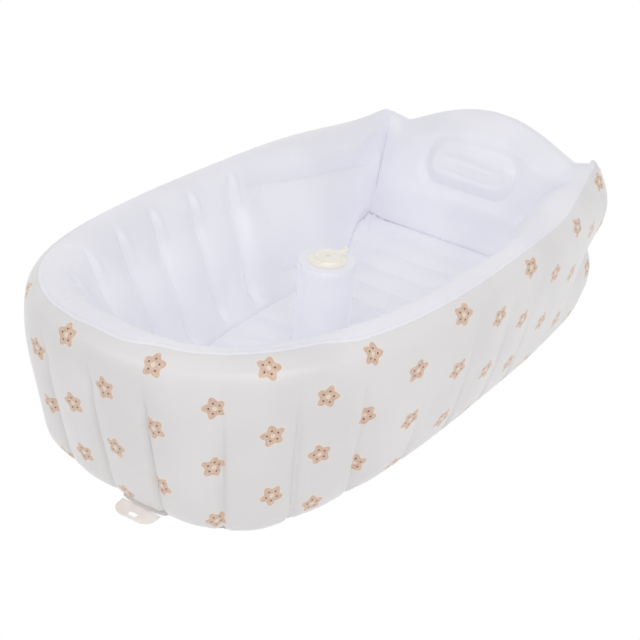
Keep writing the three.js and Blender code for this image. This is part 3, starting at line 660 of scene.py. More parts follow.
def rimTop(s, side):
    # the rim swells a little along the side, rises to a point at each ear and drops behind the head
    head = ease(s, earDistance, headFlatDistance)
    spike = np.clip(1 - np.abs(s - earDistance) / wall["earReach"], 0, 1) ** wall["earPower"]
    rise = np.where(side > 0, wall["earRise"]["far"], wall["earRise"]["near"])
    sideTop = wall["rimHeight"] + hump(s, *wall["sideRise"])
    return mix(sideTop, wall["headBackHeight"], head) + rise * spike * (1 - head)


def outerKnots(s, side, x, top, head):
    # the section outside, from the foot up to the rim
    pinch = ease(x, wall["pinchStartX"], wall["earX"])[:, None, None]
    shares = mix(np.array(outerSide), np.array(outerEar), pinch)
    shares = mix(shares, np.array(outerBack), head[:, None, None])
    lobe = wall["lobeDepth"] * lobes(s, outerWelds, wall["lobePowers"][0])
    for start, end, share in wall["lobeFades"]:
        lobe = lobe * (1 - share * ease(s, start, end))
    foot = blurred(s, wall["baseLine"], wall["baseBlur"])
    swell = hump(s * side, *wall["footSwell"])
    tuck = hump(s * side, *wall["tabTuck"])
    out = wall["bulge"] * shares[:, :, 0]
    for k in range(len(lobeShares)):
        out[:, k] += foot * baseShares[k] + swell * swellShares[k]
        out[:, k] -= lobe * lobeShares[k] + tuck * tuckShares[k]
    return out, top[:, None] * shares[:, :, 1]


def wallBase(s, side):
    # section knots (out, height) at each distance, then a closed spline through them
    x = planAt(s)[:, 0]
    ear = ease(x, wall["blendStartX"], wall["creaseX"])
    head = ease(s, earDistance, headFlatDistance)
    top = rimTop(s, side)
    depth = mix(wall["footDepth"], wall["headDepth"], ease(x, *wall["depthX"]))
    band = blurred(s, wall["band"], wall["bandBlur"])
    wide = between(s, *wall["wide"]) * np.where(side > 0, wall["wideFarShare"], 1)

    def headOut(z):
        return backPlane(z) + wall["backThickness"] - (wall["headX"] - wall["bulge"])

    outside, height = outerKnots(s, side, x, top, head)
    out, up = list(outside.T), list(height.T)
    for sideKnot, earKnot, more in zip(innerSide, innerEar, innerWide):
        inward, down, rise = (mix(sideKnot[k], earKnot[k], ear) for k in range(3))
        flat = band * inward
        z = top * (rise + more * wide)
        out.append(mix(-mix(flat, np.maximum(depth, flat), down), headOut(z), head))
        up.append(z)
    for z in (floorTop(x), np.zeros_like(x)):
        out.append(mix(-depth, headOut(z), head))
        up.append(z)
    knots = np.stack([np.stack(out, 1), np.stack(up, 1)], 2)
    chords = np.linalg.norm(np.roll(knots, -1, 1) - knots, axis=2).mean(0)
    samples = np.concatenate([k + np.arange(n) / n for k, n in enumerate(sectionSteps)])
    points = np.einsum("vk,ukc->uvc", splineWeights(chords, samples), knots)
    least = mix(-np.maximum(depth, band)[:, None], headOut(points[:, :, 1]), head[:, None])
    points[:, :, 0] = np.maximum(points[:, :, 0], least)
    points[:, :, 1] = np.maximum(points[:, :, 1], wall["bottom"])
    return points, samples


# Both lists run on past their ends, so that the flutes there have their full width
outerWelds = [-wall["outerWelds"][1]] + wall["outerWelds"] + [870, 940]
innerWelds = [-wall["innerWelds"][0]] + wall["innerWelds"] + [680]


def lobes(value, welds, power):
    # 1 at each weld and 0 half-way between two: 1 - |sin(pi n)|^power, where n counts the welds passed
    count = np.interp(value, welds, np.arange(len(welds)))
    return 1 - np.abs(np.sin(math.pi * count)) ** power


def blurred(value, table, width):
    # read off a table, each value the mean of five places up to the width away
    return sum(tabled(np.abs(value + k * width / 2), table) for k in (-2, -1, 0, 1, 2)) / 5


def nearest(value, welds):
    return np.abs(value[..., None] - np.array(welds)).min(-1)


folds = {
    # the knots between which the film lies outside and inside
    "outside": (-0.1, 0.3, 4.6, 5.3),
    "inside": (6.7, 7.3, 12.6, 13.0),
    # outer welds: height of their tops by distance, depth, width, run from the top down to the full depth
    "weldTop": [(0, 186), (330, 186), (520, 172), (700, 140), (820, 84), (900, 30)],
    "weldDepth": 3.0,
    "weldWidth": 3.2,
    "weldRun": (-3, 16),
    # towards the head they lose this share above the foot, and then end
    "weldFade": (0.75, 330, 440),
    "weldFadeHeight": (20, 70),
    "weldEnd": (680, 730),
    # the dimple at a weld's top and the bank of film beside the weld
    "dimple": {"depth": 1.6, "width": 10, "below": 4, "height": 9},
    "bank": {"rise": 0.9, "beside": 9, "width": 5, "run": 30},
    # the fold of the pinched head corner: its height by x, and depth and reach of its line and its valley
    "cornerHeight": [(250, 90), (300, 96), (430, 122), (500, 124)],
    "cornerLine": (5.0, 9),
    "cornerValley": (3.0, 30),
    "cornerStart": (830, 960),
    "cornerEnd": 80,
    "slack": {"depth": 1.0, "place": (905, 150), "reach": (60, 70), "waves": (17, 40)},
    # inner welds: the last one leans at its bottom and is deeper; they end before the ears and are shallower
    # near the floor
    "lean": {"reach": 30, "start": (500, 583), "height": 235, "power": 1.5},
    "rim": 244,
    "flutesEnd": (588, 640),
    "last": (0.5, 583, 50),
    "foot": (36, 70),
    "footShare": 0.55,
    "lobeRun": 60,
    "innerDepth": 4.5,
    "innerWidth": 4.5,
    "innerRun": 14,
    "ridge": {"rise": 3.2, "beside": 11, "width": 6, "below": 26, "height": 26},
    # the two level creases from the last flute to the ear: height by x, depth and reach, start and end
    "levelStart": (590, 625),
    "levelEnd": (345, 400),
    "highLine": [(50, 214), (390, 167)],
    "highSwell": (6, 240, 80),
    "highDepth": (14, 16),
    "highStart": (10, 70),
    "lowLine": [(65, 70), (255, 40)],
    "lowDepth": (13, 14),
    "lowSpan": (20, 80, 225, 262),
}


def outerDepth(s, x, z):
    below = tabled(s, folds["weldTop"]) - z
    share, *span = folds["weldFade"]
    size = 1 - share * ease(s, *span) * ease(z, *folds["weldFadeHeight"])
    size = size * (1 - ease(s, *folds["weldEnd"]))
    gap = nearest(s, outerWelds)
    depth = folds["weldDepth"] * size * np.exp(-gap / folds["weldWidth"]) * ease(below, *folds["weldRun"])
    # each weld starts in a small dimple, with the film standing up a little beside it
    dimple, bank = folds["dimple"], folds["bank"]
    at = bell(gap, dimple["width"]) * bell(below - dimple["below"], dimple["height"])
    beside = bell(gap - bank["beside"], bank["width"]) * ease(below, 0, bank["run"])
    depth = depth + size * (dimple["depth"] * at - bank["rise"] * beside)
    # the fold that runs forward and down from the pinched head corner
    above = z - tabled(x, folds["cornerHeight"])
    (line, lineReach), (valley, valleyReach) = folds["cornerLine"], folds["cornerValley"]
    fold = line * np.exp(-np.abs(above) / lineReach) + valley * bell(above, valleyReach)
    depth = depth + fold * between(s, *folds["cornerStart"], planLength - folds["cornerEnd"], planLength)
    # soft dents of slack film between the short weld and the corner
    slack = folds["slack"]
    (atS, atZ), (reachS, reachZ), (waveS, waveZ) = slack["place"], slack["reach"], slack["waves"]
    dents = 0.5 + 0.5 * np.sin(s / waveS + z / waveZ)
    return depth + slack["depth"] * bell(s - atS, reachS) * bell(z - atZ, reachZ) * dents


def innerDepth(s, x, z):
    lean = folds["lean"]
    drop = np.clip(1 - z / lean["height"], 0, 1) ** lean["power"]
    leaning = s + lean["reach"] * ease(s, *lean["start"]) * drop
    below = folds["rim"] - z
    flutes = 1 - ease(leaning, *folds["flutesEnd"])
    last = 1 + hump(leaning, *folds["last"])
    gap = nearest(leaning, innerWelds[:-1])
    lobe = wall["innerLobeDepth"] * lobes(leaning, innerWelds, wall["lobePowers"][1])
    lobe = lobe * ease(below, 0, folds["lobeRun"])
    weld = folds["innerDepth"] * np.exp(-gap / folds["innerWidth"]) * ease(below, 0, folds["innerRun"])
    depth = (lobe + weld) * last * flutes * mix(folds["footShare"], 1, ease(z, *folds["foot"]))
    # a ridge of taut film runs down from the top of each weld, on the side of the head
    ridge = folds["ridge"]
    gap = nearest(leaning - ridge["beside"], innerWelds[:-1])
    taut = bell(gap, ridge["width"]) * bell(below - ridge["below"], ridge["height"])
    depth = depth - ridge["rise"] * taut * flutes
    levels = ease(leaning, *folds["levelStart"]) * (1 - ease(x, *folds["levelEnd"]))
    high = tabled(x, folds["highLine"]) + hump(x, *folds["highSwell"])
    low = tabled(x, folds["lowLine"])
    (highDepth, highReach), (lowDepth, lowReach) = folds["highDepth"], folds["lowDepth"]
    upper = highDepth * np.exp(-np.abs(z - high) / highReach) * ease(x, *folds["highStart"])
    lower = lowDepth * np.exp(-np.abs(z - low) / lowReach) * between(x, *folds["lowSpan"])
    return depth + levels * (upper + lower)


def wallDepth(s, x, z, knot):
    # how far the welds and creases draw the film in, outside and inside
    outside, inside = between(knot, *folds["outside"]), between(knot, *folds["inside"])
    return outerDepth(s, x, z) * outside + innerDepth(s, x, z) * inside


def knotRow(knot):
    # the row of points at a knot of the section
    return sum(sectionSteps[:knot])


seam = {
    # its row of points, and the middle and reach, in knots, of the part that moves with it
    "row": knotRow(5) + 7,
    "moves": (6, 0.9),
    # how far it moves along the section, in knots: at the near side's foot and ear and at the far side's foot
    "nearFoot": (0.4, 30, 85, 250, 310),
    "nearEar": (0.3, 780, 920),
    "farFoot": (-0.1, 0, 40, 190, 260),
    # short ripples in the rim's film where the foot's curve is tight: height, wave, middle and reach, fade
    "gathers": (0.5, 2.1, (6.5, 0.5), (150, 330)),
}


def shiftSeam(section, samples, s, side):
    # moves the seam's row of points along the section, towards the rim's middle where the film is turned in
    near, far = -s * side, s * side
    (foot, *footSpan), (ear, *earSpan) = seam["nearFoot"], seam["nearEar"]
    farFoot, *farSpan = seam["farFoot"]
    moved = foot * between(near, *footSpan) + ear * ease(near, *earSpan) + farFoot * between(far, *farSpan)
    knot, reach = seam["moves"]
    place = samples[None] + moved[:, None] * bell(samples[None] - knot, reach)
    row = np.interp(place, samples, np.arange(len(samples)))
    low = np.clip(np.floor(row).astype(int), 0, len(samples) - 2)
    station = np.arange(len(s))[:, None]
    return mix(section[station, low], section[station, low + 1], (row - low)[:, :, None])


def wallMap(grid, s, row):
    # in metres: length round the loop at half height, and length down the section from the seam
    ring = np.vstack([grid[:, row], grid[:1, row]])
    slower, *span = motif["slower"]
    steps = np.linalg.norm(np.diff(ring, axis=0), axis=1) * (1 - slower * between(s, *span))
    along = np.concatenate([[0], np.cumsum(steps)]) / perMetre
    closed = np.concatenate([grid, grid[:, :1]], 1)
    steps = np.linalg.norm(np.diff(closed, axis=1), axis=2)
    down = np.pad(np.cumsum(steps, 1), ((0, 0), (1, 0))) / perMetre
    down = down - down[:, seam["row"], None] + motif["mapStart"]
    down = np.vstack([down, down[:1]])
    return np.stack([np.repeat(along[:, None], down.shape[1], 1), down], 2)


def makeWall():
    half = stationDistances()
    back = half[1:-1]
    s = np.concatenate([half[::-1], back])
    side = np.concatenate([np.ones(len(half)), -np.ones(len(back))])
    section, samples = wallBase(s, side)
    section = shiftSeam(section, samples, s, side)
    at, step = planAt(s), wall["tangentStep"]
    along = unit(planAt(s + step) - planAt(s - step))
    normal = np.stack([-along[:, 1], along[:, 0]], 1)
    normal[s <= step] = [-1, 0]
    normal[s >= planLength - step] = [1, 0]
    flat = at[:, None] + normal[:, None] * section[:, :, :1]
    grid = np.stack([flat[:, :, 0], flat[:, :, 1] * side[:, None], section[:, :, 1]], 2)
    facing = normalsOf(grid)
    row = int(np.argmin(np.abs(samples - wall["outsideKnot"])))
    toward = np.stack([normal[:, 0], normal[:, 1] * side, 0 * side], 1)
    facing = facing * np.sign((facing[:, row] * toward).sum(1))[:, None, None]
    sAll = np.repeat(s[:, None], len(samples), 1)
    xAll = np.repeat(at[:, :1], len(samples), 1)
    depth = wallDepth(sAll, xAll, grid[:, :, 2], samples[None])
    height, wave, (knot, reach), fade = seam["gathers"]
    gather = height * np.sin(sAll / wave) * bell(samples[None] - knot, reach) * (1 - ease(sAll, *fade))
    grid = grid + facing * (gather - depth)[:, :, None]
    lean = wall["rimLean"] / wall["rimHeight"] * grid[:, :, 2]
    grid[:, :, 1] += lean * ease(-grid[:, :, 0], *wall["rimLeanX"])
    grid[:, :, 2] = np.maximum(grid[:, :, 2], wall["bottom"])
    slots = np.ones((len(s), len(samples)), int)
    slots[:, : seam["row"]] = 0
    uv = wallMap(grid, s, row)
    return skin("wallSkin", grid, loopU=True, uv=uv, slots=slots), grid, facing, s * side, uv[-1, 0, 0]


innerFilm = plainFilm("innerFilm", "inner", "inner")
floorFilm = plainFilm("floorFilm", "floor", "floor")


def dressInner(piece, node):
    dress(piece, "tub", innerFilm, "inner_skin", node)


# wallAt is the distance of each station along the rim, below 0 on the near side
wallPiece, wallGrid, wallFacing, wallAt, loopLength = makeWall()
dress(wallPiece, "tub", [printedFilm(loopLength), innerFilm], "printed_skin", "wall_chamber")
print("wall", len(wallPiece.data.polygons))


rimSeam = {
    "width": 4.0,
    "height": 0.5,
    "buried": 0.5,
    "flutter": 0.5,
    "waves": (5.0, 3.1, 13.0),
    # how much slimmer it gets, and between which distances; its share of width at the ends, and their length
    "slimmer": (0.45, 640, 860),
    "ends": (0.35, 20),
    # shares of the width, and heights: two buried edges and a rounded back between them
    "profile": [
        (-0.5, -1), (0.5, -1), (1, -0.4), (0.82, 0.5), (0.5, 0.9), (0.1, 1), (-0.3, 0.6), (-0.6, -0.4),
    ],
}


def makeRimSeam():
    # a low welded lip along the wall's seam row from ear to ear, its edges sunk into the film
    order = np.argsort(wallAt)
    order = order[np.abs(wallAt[order]) < earDistance - 2]
    line, up = wallGrid[order, seam["row"]], wallFacing[order, seam["row"]]
    out = unit(wallGrid[order, seam["row"] - 1] - wallGrid[order, seam["row"] + 1])
    s = wallAt[order][:, None]
    flutter = rimSeam["flutter"] * ripple(*(s / wave for wave in rimSeam["waves"]))
    (slimmer, *span), (least, taper) = rimSeam["slimmer"], rimSeam["ends"]
    slim = 1 - slimmer * ease(np.abs(s), *span)
    width = (rimSeam["width"] + flutter) * slim * mix(least, 1, ease(earDistance - np.abs(s), 0, taper))
    rings = []
    for across, rise in rimSeam["profile"]:
        lift = rise * (rimSeam["height"] * slim if rise > 0 else rimSeam["buried"])
        rings.append(line + out * width * across + up * lift)
    return skin("rimSeam", np.stack(rings, 1))


dressInner(makeRimSeam(), "rim_seam")
print("rim seam")


# where the pieces stand that go through others
layout = {"drain": (-292.0, -52.0), "post": (-36.0, 0.0), "floorValve": (-170.0, -73.0)}

base = {
    "flange": 2.6,
    "wobble": (0.3, 11.0, 6.0),
    # under the tab: how far further out, where along the rim, half its length and its rounding
    "tongue": (7.0, -38, 38, 9),
    "thickness": 0.5,
    "drainRadius": 13.3,
    "shares": [0, 0.002, 0.05, 0.3, 0.8, 1],
}


def makeBase():
    # the wall's foot line pushed out by the flange; rings run from the edge in to the drain hole
    (height, *waves), (length, middle, half, soft) = base["wobble"], base["tongue"]
    out = height * ripple(*(np.abs(wallAt) / wave for wave in waves))
    out = out + base["flange"] + length * ease(half - np.abs(wallAt - middle), 0, soft)
    edge = wallGrid[:, 0, :2] + unit(wallFacing[:, knotRow(3), :2]) * out[:, None]
    centre = np.array(layout["drain"])
    hole = centre + base["drainRadius"] * unit(edge - centre)
    rings = []
    for z, shares in ((0.0, base["shares"]), (base["thickness"], base["shares"][::-1])):
        rings += [np.column_stack([mix(edge, hole, share), np.full(len(edge), z)]) for share in shares]
    return skin("baseSheet", np.stack(rings, 1), loopU=True)


baseFilm = plainFilm("baseFilm", "outer", "outer")
dress(makeBase(), "tub", baseFilm, "floor_skin", "base_sheet")
print("base sheet")


pad = {
    "clearance": 0.4,
    "endGap": 0.8,
    "spacing": 2.1,
    "pointsAcross": 91,
    # share of even steps across, where the rest lie closer together at the edges
    "evenShare": 0.55,
    "bottomPoints": 7,
    # the pad starts where the floor is this wide, looked for up to this x in so many steps
    "startHalfWidth": 34.0,
    "startX": (-100, 2000),
    # ribs: how high the welds between them lie and how far in from the edge they start and are full
    "ribPitch": 52.0,
    "ribRise": 5.5,
    "ribPower": 0.95,
    "ribEnds": (6, 34),
    "weldShare": 0.75,
    # sideways bows of the ribs: height, wave, offset; and how far from the foot they are full
    "bows": [(2.2, 60, 0.6), (1.2, 23, 2)],
    "bowStart": 60,
    # the rolled edge: how far it drops, how wide it is at the sides and at the foot; small puckers beside it
    "edgeDrop": 4.5,
    "edgeWidths": (9, 16),
    "pucker": (0.7, 6, 9, 7),
    "headDrop": (0.5, 16),
    # pockets: radius and height; the slot: place, half sizes and height; and how wide their banks are
    "drainPocket": (24.0, 30.0),
    "valvePocket": (33.0, 31.7),
    "valveSlot": (-192.0, -73.0, 26.0, 10.0, 31.7),
    "bank": 16,
    # the post's seat: height, and the radii where it starts to rise, is still held down and ends
    "postSeat": (37.8, 53.5, 54.5, 70.5),
    "postHole": 44.8,
}

# The head corners rise against the wall and the backrest, in folds that fan out from the corner
gusset = {
    "place": (388.0, 197.0),
    "rise": 15.0,
    "reach": 46.0,
    "power": 1.4,
    "edgeFade": (30, 75),
    # folds: height, count, sway and the sway's wave; the first two lie round the rings, the third in the span
    "folds": [(1.5, 15, 2.0, 9), (0.8, 31, 0, 1), (1.3, 24, 1.5, 13)],
    "rings": [(24, 15), (34, 12)],
    "span": (18, 40, 75, 110),
    "side": (140, 160),
}


def gussetRise(x, y, edge):
    gapX, gapY = gusset["place"][0] - x, gusset["place"][1] - np.abs(y)
    far, fan = np.hypot(gapX, gapY), np.arctan2(gapY, gapX + 0.01)
    rise = gusset["rise"] * (1 - ease(far, 0, gusset["reach"])) ** gusset["power"]
    rise = rise + pad["edgeDrop"] * edge * (1 - ease(far, *gusset["edgeFade"]))
    windows = [bell(far - middle, width) for middle, width in gusset["rings"]]
    windows.append(between(far, *gusset["span"]) * ease(np.abs(y), *gusset["side"]))
    for (height, count, sway, wave), window in zip(gusset["folds"], windows):
        rise = rise + height * np.sin(fan * count + sway * np.sin(far / wave)) * window
    return rise


def sinkPockets(z, x, y):
    for name, pocket in (("drain", pad["drainPocket"]), ("floorValve", pad["valvePocket"])):
        (radius, level), far = pocket, np.hypot(x - layout[name][0], y - layout[name][1])
        z = mix(level, z, ease(far, radius - 1, radius + pad["bank"]))
    slotX, slotY, halfLong, halfWide, level = pad["valveSlot"]
    past = (np.maximum(np.abs(gap) - half, 0) for gap, half in ((x - slotX, halfLong), (y - slotY, halfWide)))
    z = np.minimum(z, mix(level, z, ease(np.hypot(*past), 0, pad["bank"])))
    level, start, least, end = pad["postSeat"]
    far = np.hypot(x - layout["post"][0], y - layout["post"][1])
    z = np.minimum(z, mix(level, z + 0.01, ease(far, start, end)))
    return np.where(far < least, np.minimum(z, level), z)


def makeFloor():
    # sections across the tub: ribs from |sin| with flat welds between them, and edges rolled down
    row, half = knotRow(13), wallAt >= 0
    order = np.argsort(wallGrid[half, row, 0])
    lineX, lineY = wallGrid[half, row, 0][order], wallGrid[half, row, 1][order]
    last, count = pad["startX"]
    probe = np.linspace(lineX[0] + 1, last, count)
    start = probe[np.argmax(np.interp(probe, lineX, lineY) - pad["clearance"] > pad["startHalfWidth"])]
    end = backPlane(0) - pad["endGap"]
    count = int((end - start) / pad["spacing"])
    x = np.linspace(start, end, count)[:, None]
    width = np.interp(x, lineX, lineY) - pad["clearance"]
    even = np.linspace(-1, 1, pad["pointsAcross"])[None]
    y = width * mix(np.sin(even * math.pi / 2), even, pad["evenShare"])
    inset = width - np.abs(y)
    bow = sum(height * np.sin(y / wave + offset) for height, wave, offset in pad["bows"])
    bow = bow * ease(x, start, start + pad["bowStart"])
    phase = (x - start + bow) / pad["ribPitch"]
    lift = np.abs(np.sin(phase * math.pi)) ** pad["ribPower"]
    rib = pad["ribRise"] * (mix(pad["weldShare"], lift, ease(inset, *pad["ribEnds"])) - 1)
    side, foot = pad["edgeWidths"]
    edge = np.clip(1 - inset / side, 0, 1) ** 2
    drop = pad["edgeDrop"] * np.maximum(edge, np.clip(1 - (x - start) / foot, 0, 1) ** 2)
    height, waves, middle, reach = pad["pucker"]
    pucker = height * np.sin(phase * math.pi * waves) * bell(inset - middle, reach)
    headDrop, reach = pad["headDrop"]
    z = floorTop(x) + rib - drop + pucker - headDrop * ease(x, end - reach, end)
    z = sinkPockets(z + gussetRise(x, y, edge), x, y)
    lean = wall["backLean"] * ease(x, wall["creaseX"] - pad["ribPitch"], end)
    topSide = np.stack([x + lean * z, y, z], 2)
    back = np.linspace(1, -1, pad["bottomPoints"])[None]
    bottomSide = np.stack([x + 0 * back, width * back, wall["bottom"] + 0 * x * back], 2)
    return skin("floorPad", np.concatenate([topSide, bottomSide], 1))


def circle(place, radius, sides=48):
    t = turn(sides)
    return np.stack([place[0] + radius * np.cos(t), place[1] + radius * np.sin(t)], 1)


def bore(piece, name, ring, low, high, solver="FAST"):
    # cuts an upright hole with the ring's outline through a closed piece
    tool = skin(name, np.stack([np.column_stack([ring, np.full(len(ring), z)]) for z in (low, high)], 0))
    cutter = piece.modifiers.new(name, "BOOLEAN")
    cutter.operation, cutter.solver, cutter.object = "DIFFERENCE", solver, tool
    depsgraph = bpy.context.evaluated_depsgraph_get()
    result = bpy.data.meshes.new_from_object(piece.evaluated_get(depsgraph))
    piece.modifiers.clear()
    piece.data = result
    bpy.data.objects.remove(tool)


floorPiece = makeFloor()
bore(floorPiece, "drainCutter", circle(layout["drain"], base["drainRadius"]), -5, 60)
bore(floorPiece, "postCutter", circle(layout["post"], pad["postHole"], 96), 14, 90)
dress(floorPiece, "tub", floorFilm, "floor_skin", "floor_pad")
print("floor", len(floorPiece.data.polygons))


rest = {
    "slices": 241,
    "points": 130,
    "top": 301.0,
    "shoulder": 251.5,
    "archHalfWidth": 170.0,
    "archPower": 1.2,
    "tilt": 0.018,
    # what the shoulders rise by outwards, and the near one besides: height, start and end
    "shoulders": [(7.0, 166, 206), (3.5, 200, 222)],
    "nearShoulder": [(2.0, 196, 222), (-9.0, 203, 221)],
    # half widths at the foot, along the wall and at the ears, with the heights where they change
    "halfWidths": (193.0, 211.0, 221.8),
    "widenAt": (52.0, 108.0, 205.0, 246.0),
    "thickness": 45.0,
    "sideThickness": 16.0,
    "thinPower": 4.5,
    # share of the height in which the arch rolls over, in the middle and at the dips
    "rolled": (0.16, 0.06, 110, 170),
    # the front's crown and a low ridge under the pillow, with the shares of width and height where they fade
    "crown": 13.0,
    "crownFade": (0.6, 0.98),
    "crownSpan": (0.25, 0.5, 0.86, 1),
    "ridge": (2.5, 132, 18),
    "ridgeFade": (0.5, 0.9),
    # the edges roll back, and by this share less above these heights
    "edgeRoll": 7.0,
    "edgeWidth": 17.0,
    "edgeFade": (0.3, 215, 245),
    # half width of the front where it meets the wall, by height; the groove there: depth, place, reach, fade
    "meeting": [(110, 192.5), (135, 194.8), (170, 196.4), (203, 196.8), (226, 199.5), (250, 204)],
    "groove": (6.0, 0.6, 1.9, (95, 135)),
    "leastThickness": 1.5,
}

pillow = {
    "half": (89.0, 42.0),
    "corner": 35.0,
    "height": 206.0,
    "side": 3.0,
    "points": 200,
    "thickness": 8.5,
    # the rounded flank: where it starts and ends, inwards, and its power
    "flank": (-1, 19, 0.75),
    # faint level creases: their heights, depth, width, bow, and how far from the sides they fade
    "creases": (-15.0, 9.0),
    "creaseDepth": 0.9,
    "creaseWidth": 3.5,
    "creaseBow": (2.5, 31),
    "creaseEnds": (50, 18),
    # slack film: height and waves, a hollow inside the flank, and where both start
    "slack": (0.7, 23, 11, 60),
    "hollow": (0.6, 32, 16),
    "slackStart": (4, 18),
    "rings": [(1, 0.58, 60), (0.57, 0.02, 34)],
    "buried": 0.8,
    "seating": 0.4,
    "weld": 1.8,
    "weldGap": 0.3,
    # heights of the weld's section above the valley: its two buried corners, then its top from outside in
    "weldHeights": (-0.3, -0.3, 0.4, 0.6, 0.5),
    # the shallow valley round it: depth, reach and where it starts
    "valley": 2.6,
    "valleyReach": 26,
    "valleyStart": (0.3, 0.42),
}


def backrestTop(y):
    # a round arch, (1 - y^2)^1.2, between two dips, past which the shoulders rise to the ears
    arch = np.clip(1 - (y / rest["archHalfWidth"]) ** 2, 0, 1) ** rest["archPower"]
    top = mix(rest["shoulder"], rest["top"], arch) - rest["tilt"] * y
    for out, table in ((np.abs(y), rest["shoulders"]), (-y, rest["nearShoulder"])):
        top = top + sum(height * ease(out, *span) for height, *span in table)
    return top


def pillowGap(a, b, grow=0.0, cornerGrow=0.0):
    # signed distance from the pillow's rounded rectangle, grown by so much, below 0 inside
    corner = pillow["corner"] + cornerGrow
    qa, qb = (np.abs(q) - half - grow + corner for q, half in zip((a, b), pillow["half"]))
    return np.hypot(np.maximum(qa, 0), np.maximum(qb, 0)) + np.minimum(np.maximum(qa, qb), 0) - corner


def makeBackrest():
    # each slice runs up the front, over the arch and down the back; the front swells and the edges roll back
    share = np.sin(np.linspace(-math.pi / 2, math.pi / 2, rest["slices"]))[:, None]
    up = np.linspace(0, 1, rest["points"])[None]
    footWidth, midWidth, topWidth = rest["halfWidths"]
    a, b, c, d = rest["widenAt"]
    z = mix(wall["bottom"], backrestTop(topWidth * share), up)
    width = mix(mix(footWidth, midWidth, ease(z, a, b)), topWidth, ease(z, c, d))
    wide = width * share
    thin = np.sqrt(np.clip(1 - np.abs(share) ** rest["thinPower"], 0, 1))
    thick = mix(rest["sideThickness"], rest["thickness"], thin)
    inMiddle, atDips, *span = rest["rolled"]
    rolled = mix(inMiddle, atDips, ease(np.abs(wide), *span))
    roll = np.sqrt(np.clip(1 - ((up - 1 + rolled) / rolled).clip(0, 1) ** 2, 0, 1))
    swell = rest["crown"] * (1 - ease(np.abs(share), *rest["crownFade"])) * between(up, *rest["crownSpan"])
    swell = swell + hump(z, *rest["ridge"]) * (1 - ease(np.abs(share), *rest["ridgeFade"]))
    slope = (z - pillow["height"]) * math.hypot(1, wall["backLean"])
    valley = 1 - ease(pillowGap(wide - pillow["side"], slope), 0, pillow["valleyReach"])
    valley = pillow["valley"] * valley * ease(up, *pillow["valleyStart"])
    past = ((np.abs(wide) - width + rest["edgeWidth"]) / rest["edgeWidth"]).clip(0, 1)
    less, *span = rest["edgeFade"]
    edge = rest["edgeRoll"] * (1 - np.sqrt(1 - past**2)) * (1 - less * ease(z, *span))
    # a narrow groove where the backrest's film meets the wall's
    depth, beside, reach, span = rest["groove"]
    edge = edge + depth * bell(np.abs(wide) - tabled(z, rest["meeting"]) - beside, reach) * ease(z, *span)
    front = backPlane(z) - swell + valley + thick * 0.5 * (1 - roll) + edge
    rear = np.maximum(backPlane(z) + thick * (0.5 + 0.5 * roll), front + rest["leastThickness"])
    sides = np.stack([front, wide, z], 2), np.stack([rear, wide, z], 2)[:, ::-1]
    return skin("backrest", np.concatenate(sides, 1))


dressInner(makeBackrest(), "backrest_chamber")
print("backrest")


def onSlope(points):
    # lays (across, up, off) points on the backrest's face, round the pillow's middle
    lean, height = wall["backLean"], pillow["height"]
    size = math.hypot(1, lean)
    forward = (rest["crown"] - pillow["seating"]) * size
    middle = np.array([backPlane(height) - forward, pillow["side"], height])
    axes = np.array([[0, -1, 0], [lean / size, 0, 1 / size], [-1 / size, 0, lean / size]])
    return middle + points @ axes


def pillowOutline(grow, cornerGrow):
    # points of the grown outline at even angles: on the straight rectangle first, then drawn in step by step
    t = turn(pillow["points"])
    sin, cos = np.sin(t), np.cos(t)
    halfA, halfB = (half + grow for half in pillow["half"])
    reach = 1 / np.maximum(np.abs(cos) / halfA, np.abs(sin) / halfB)
    for _ in range(6):
        reach = reach - pillowGap(reach * cos, reach * sin, grow, cornerGrow)
    return np.stack([reach * cos, reach * sin], 1)


def makePillow():
    # rings from the rim to the middle: the rounded flank, then slack film with faint creases
    halfA, valley = pillow["half"][0], pillow["valley"]
    edge = pillowOutline(1, 1)
    r = np.concatenate([np.linspace(*ring) for ring in pillow["rings"]])[:, None]
    a, b = r * edge[None, :, 0], r * edge[None, :, 1]
    inset = -pillowGap(a, b)
    start, end, power = pillow["flank"]
    dome = ease(inset, start, end) ** power
    loose, waveA, waveB, slant = pillow["slack"]
    slack = hump(inset, *pillow["hollow"]) + loose * ripple(a / waveA, b / waveB + a / slant)
    (bow, wave), (endFrom, endTo) = pillow["creaseBow"], pillow["creaseEnds"]
    lines = (b - c - bow * np.sin(a / wave + c) for c in pillow["creases"])
    crease = sum(pillow["creaseDepth"] * bell(line, pillow["creaseWidth"]) for line in lines)
    crease = crease * (1 - ease(np.abs(a), halfA - endFrom, halfA - endTo))
    height = (valley + pillow["thickness"]) * dome - valley
    height = height - (crease + slack) * ease(inset, *pillow["slackStart"])
    topSide = np.stack([a, b, height], 2)
    floorSide = topSide[::-1].copy()
    floorSide[:, :, 2] = -valley - pillow["buried"]
    return skin("pillow", onSlope(np.concatenate([floorSide[:-1], topSide], 0)))


def makePillowWeld():
    # a narrow welded ring round the pillow, at the bottom of the valley
    gap, weld = pillow["weldGap"], pillow["weld"]
    inner, outer = pillowOutline(gap, 0), pillowOutline(gap + weld, weld)
    rings = zip((inner, outer, outer, mix(outer, inner, 0.5), inner), pillow["weldHeights"])
    flat = [np.column_stack([ring, np.full(len(ring), z - pillow["valley"])]) for ring, z in rings]
    return skin("pillowWeld", onSlope(np.stack(flat, 1)), loopU=True)


dressInner(makePillow(), "head_pillow")
dressInner(makePillowWeld(), "pillow_weld")
print("pillow")


flange = {
    "half": 168.0,
    "gap": 0.3,
    "height": 5.5,
    "thickness": 0.6,
    "forward": 1.4,
    "lean": 4.0,
    # share of the height and waves, then sideways and waves
    "flutterUp": (0.12, 9, 23),
    "flutterAside": (0.5, 6, 15),
}


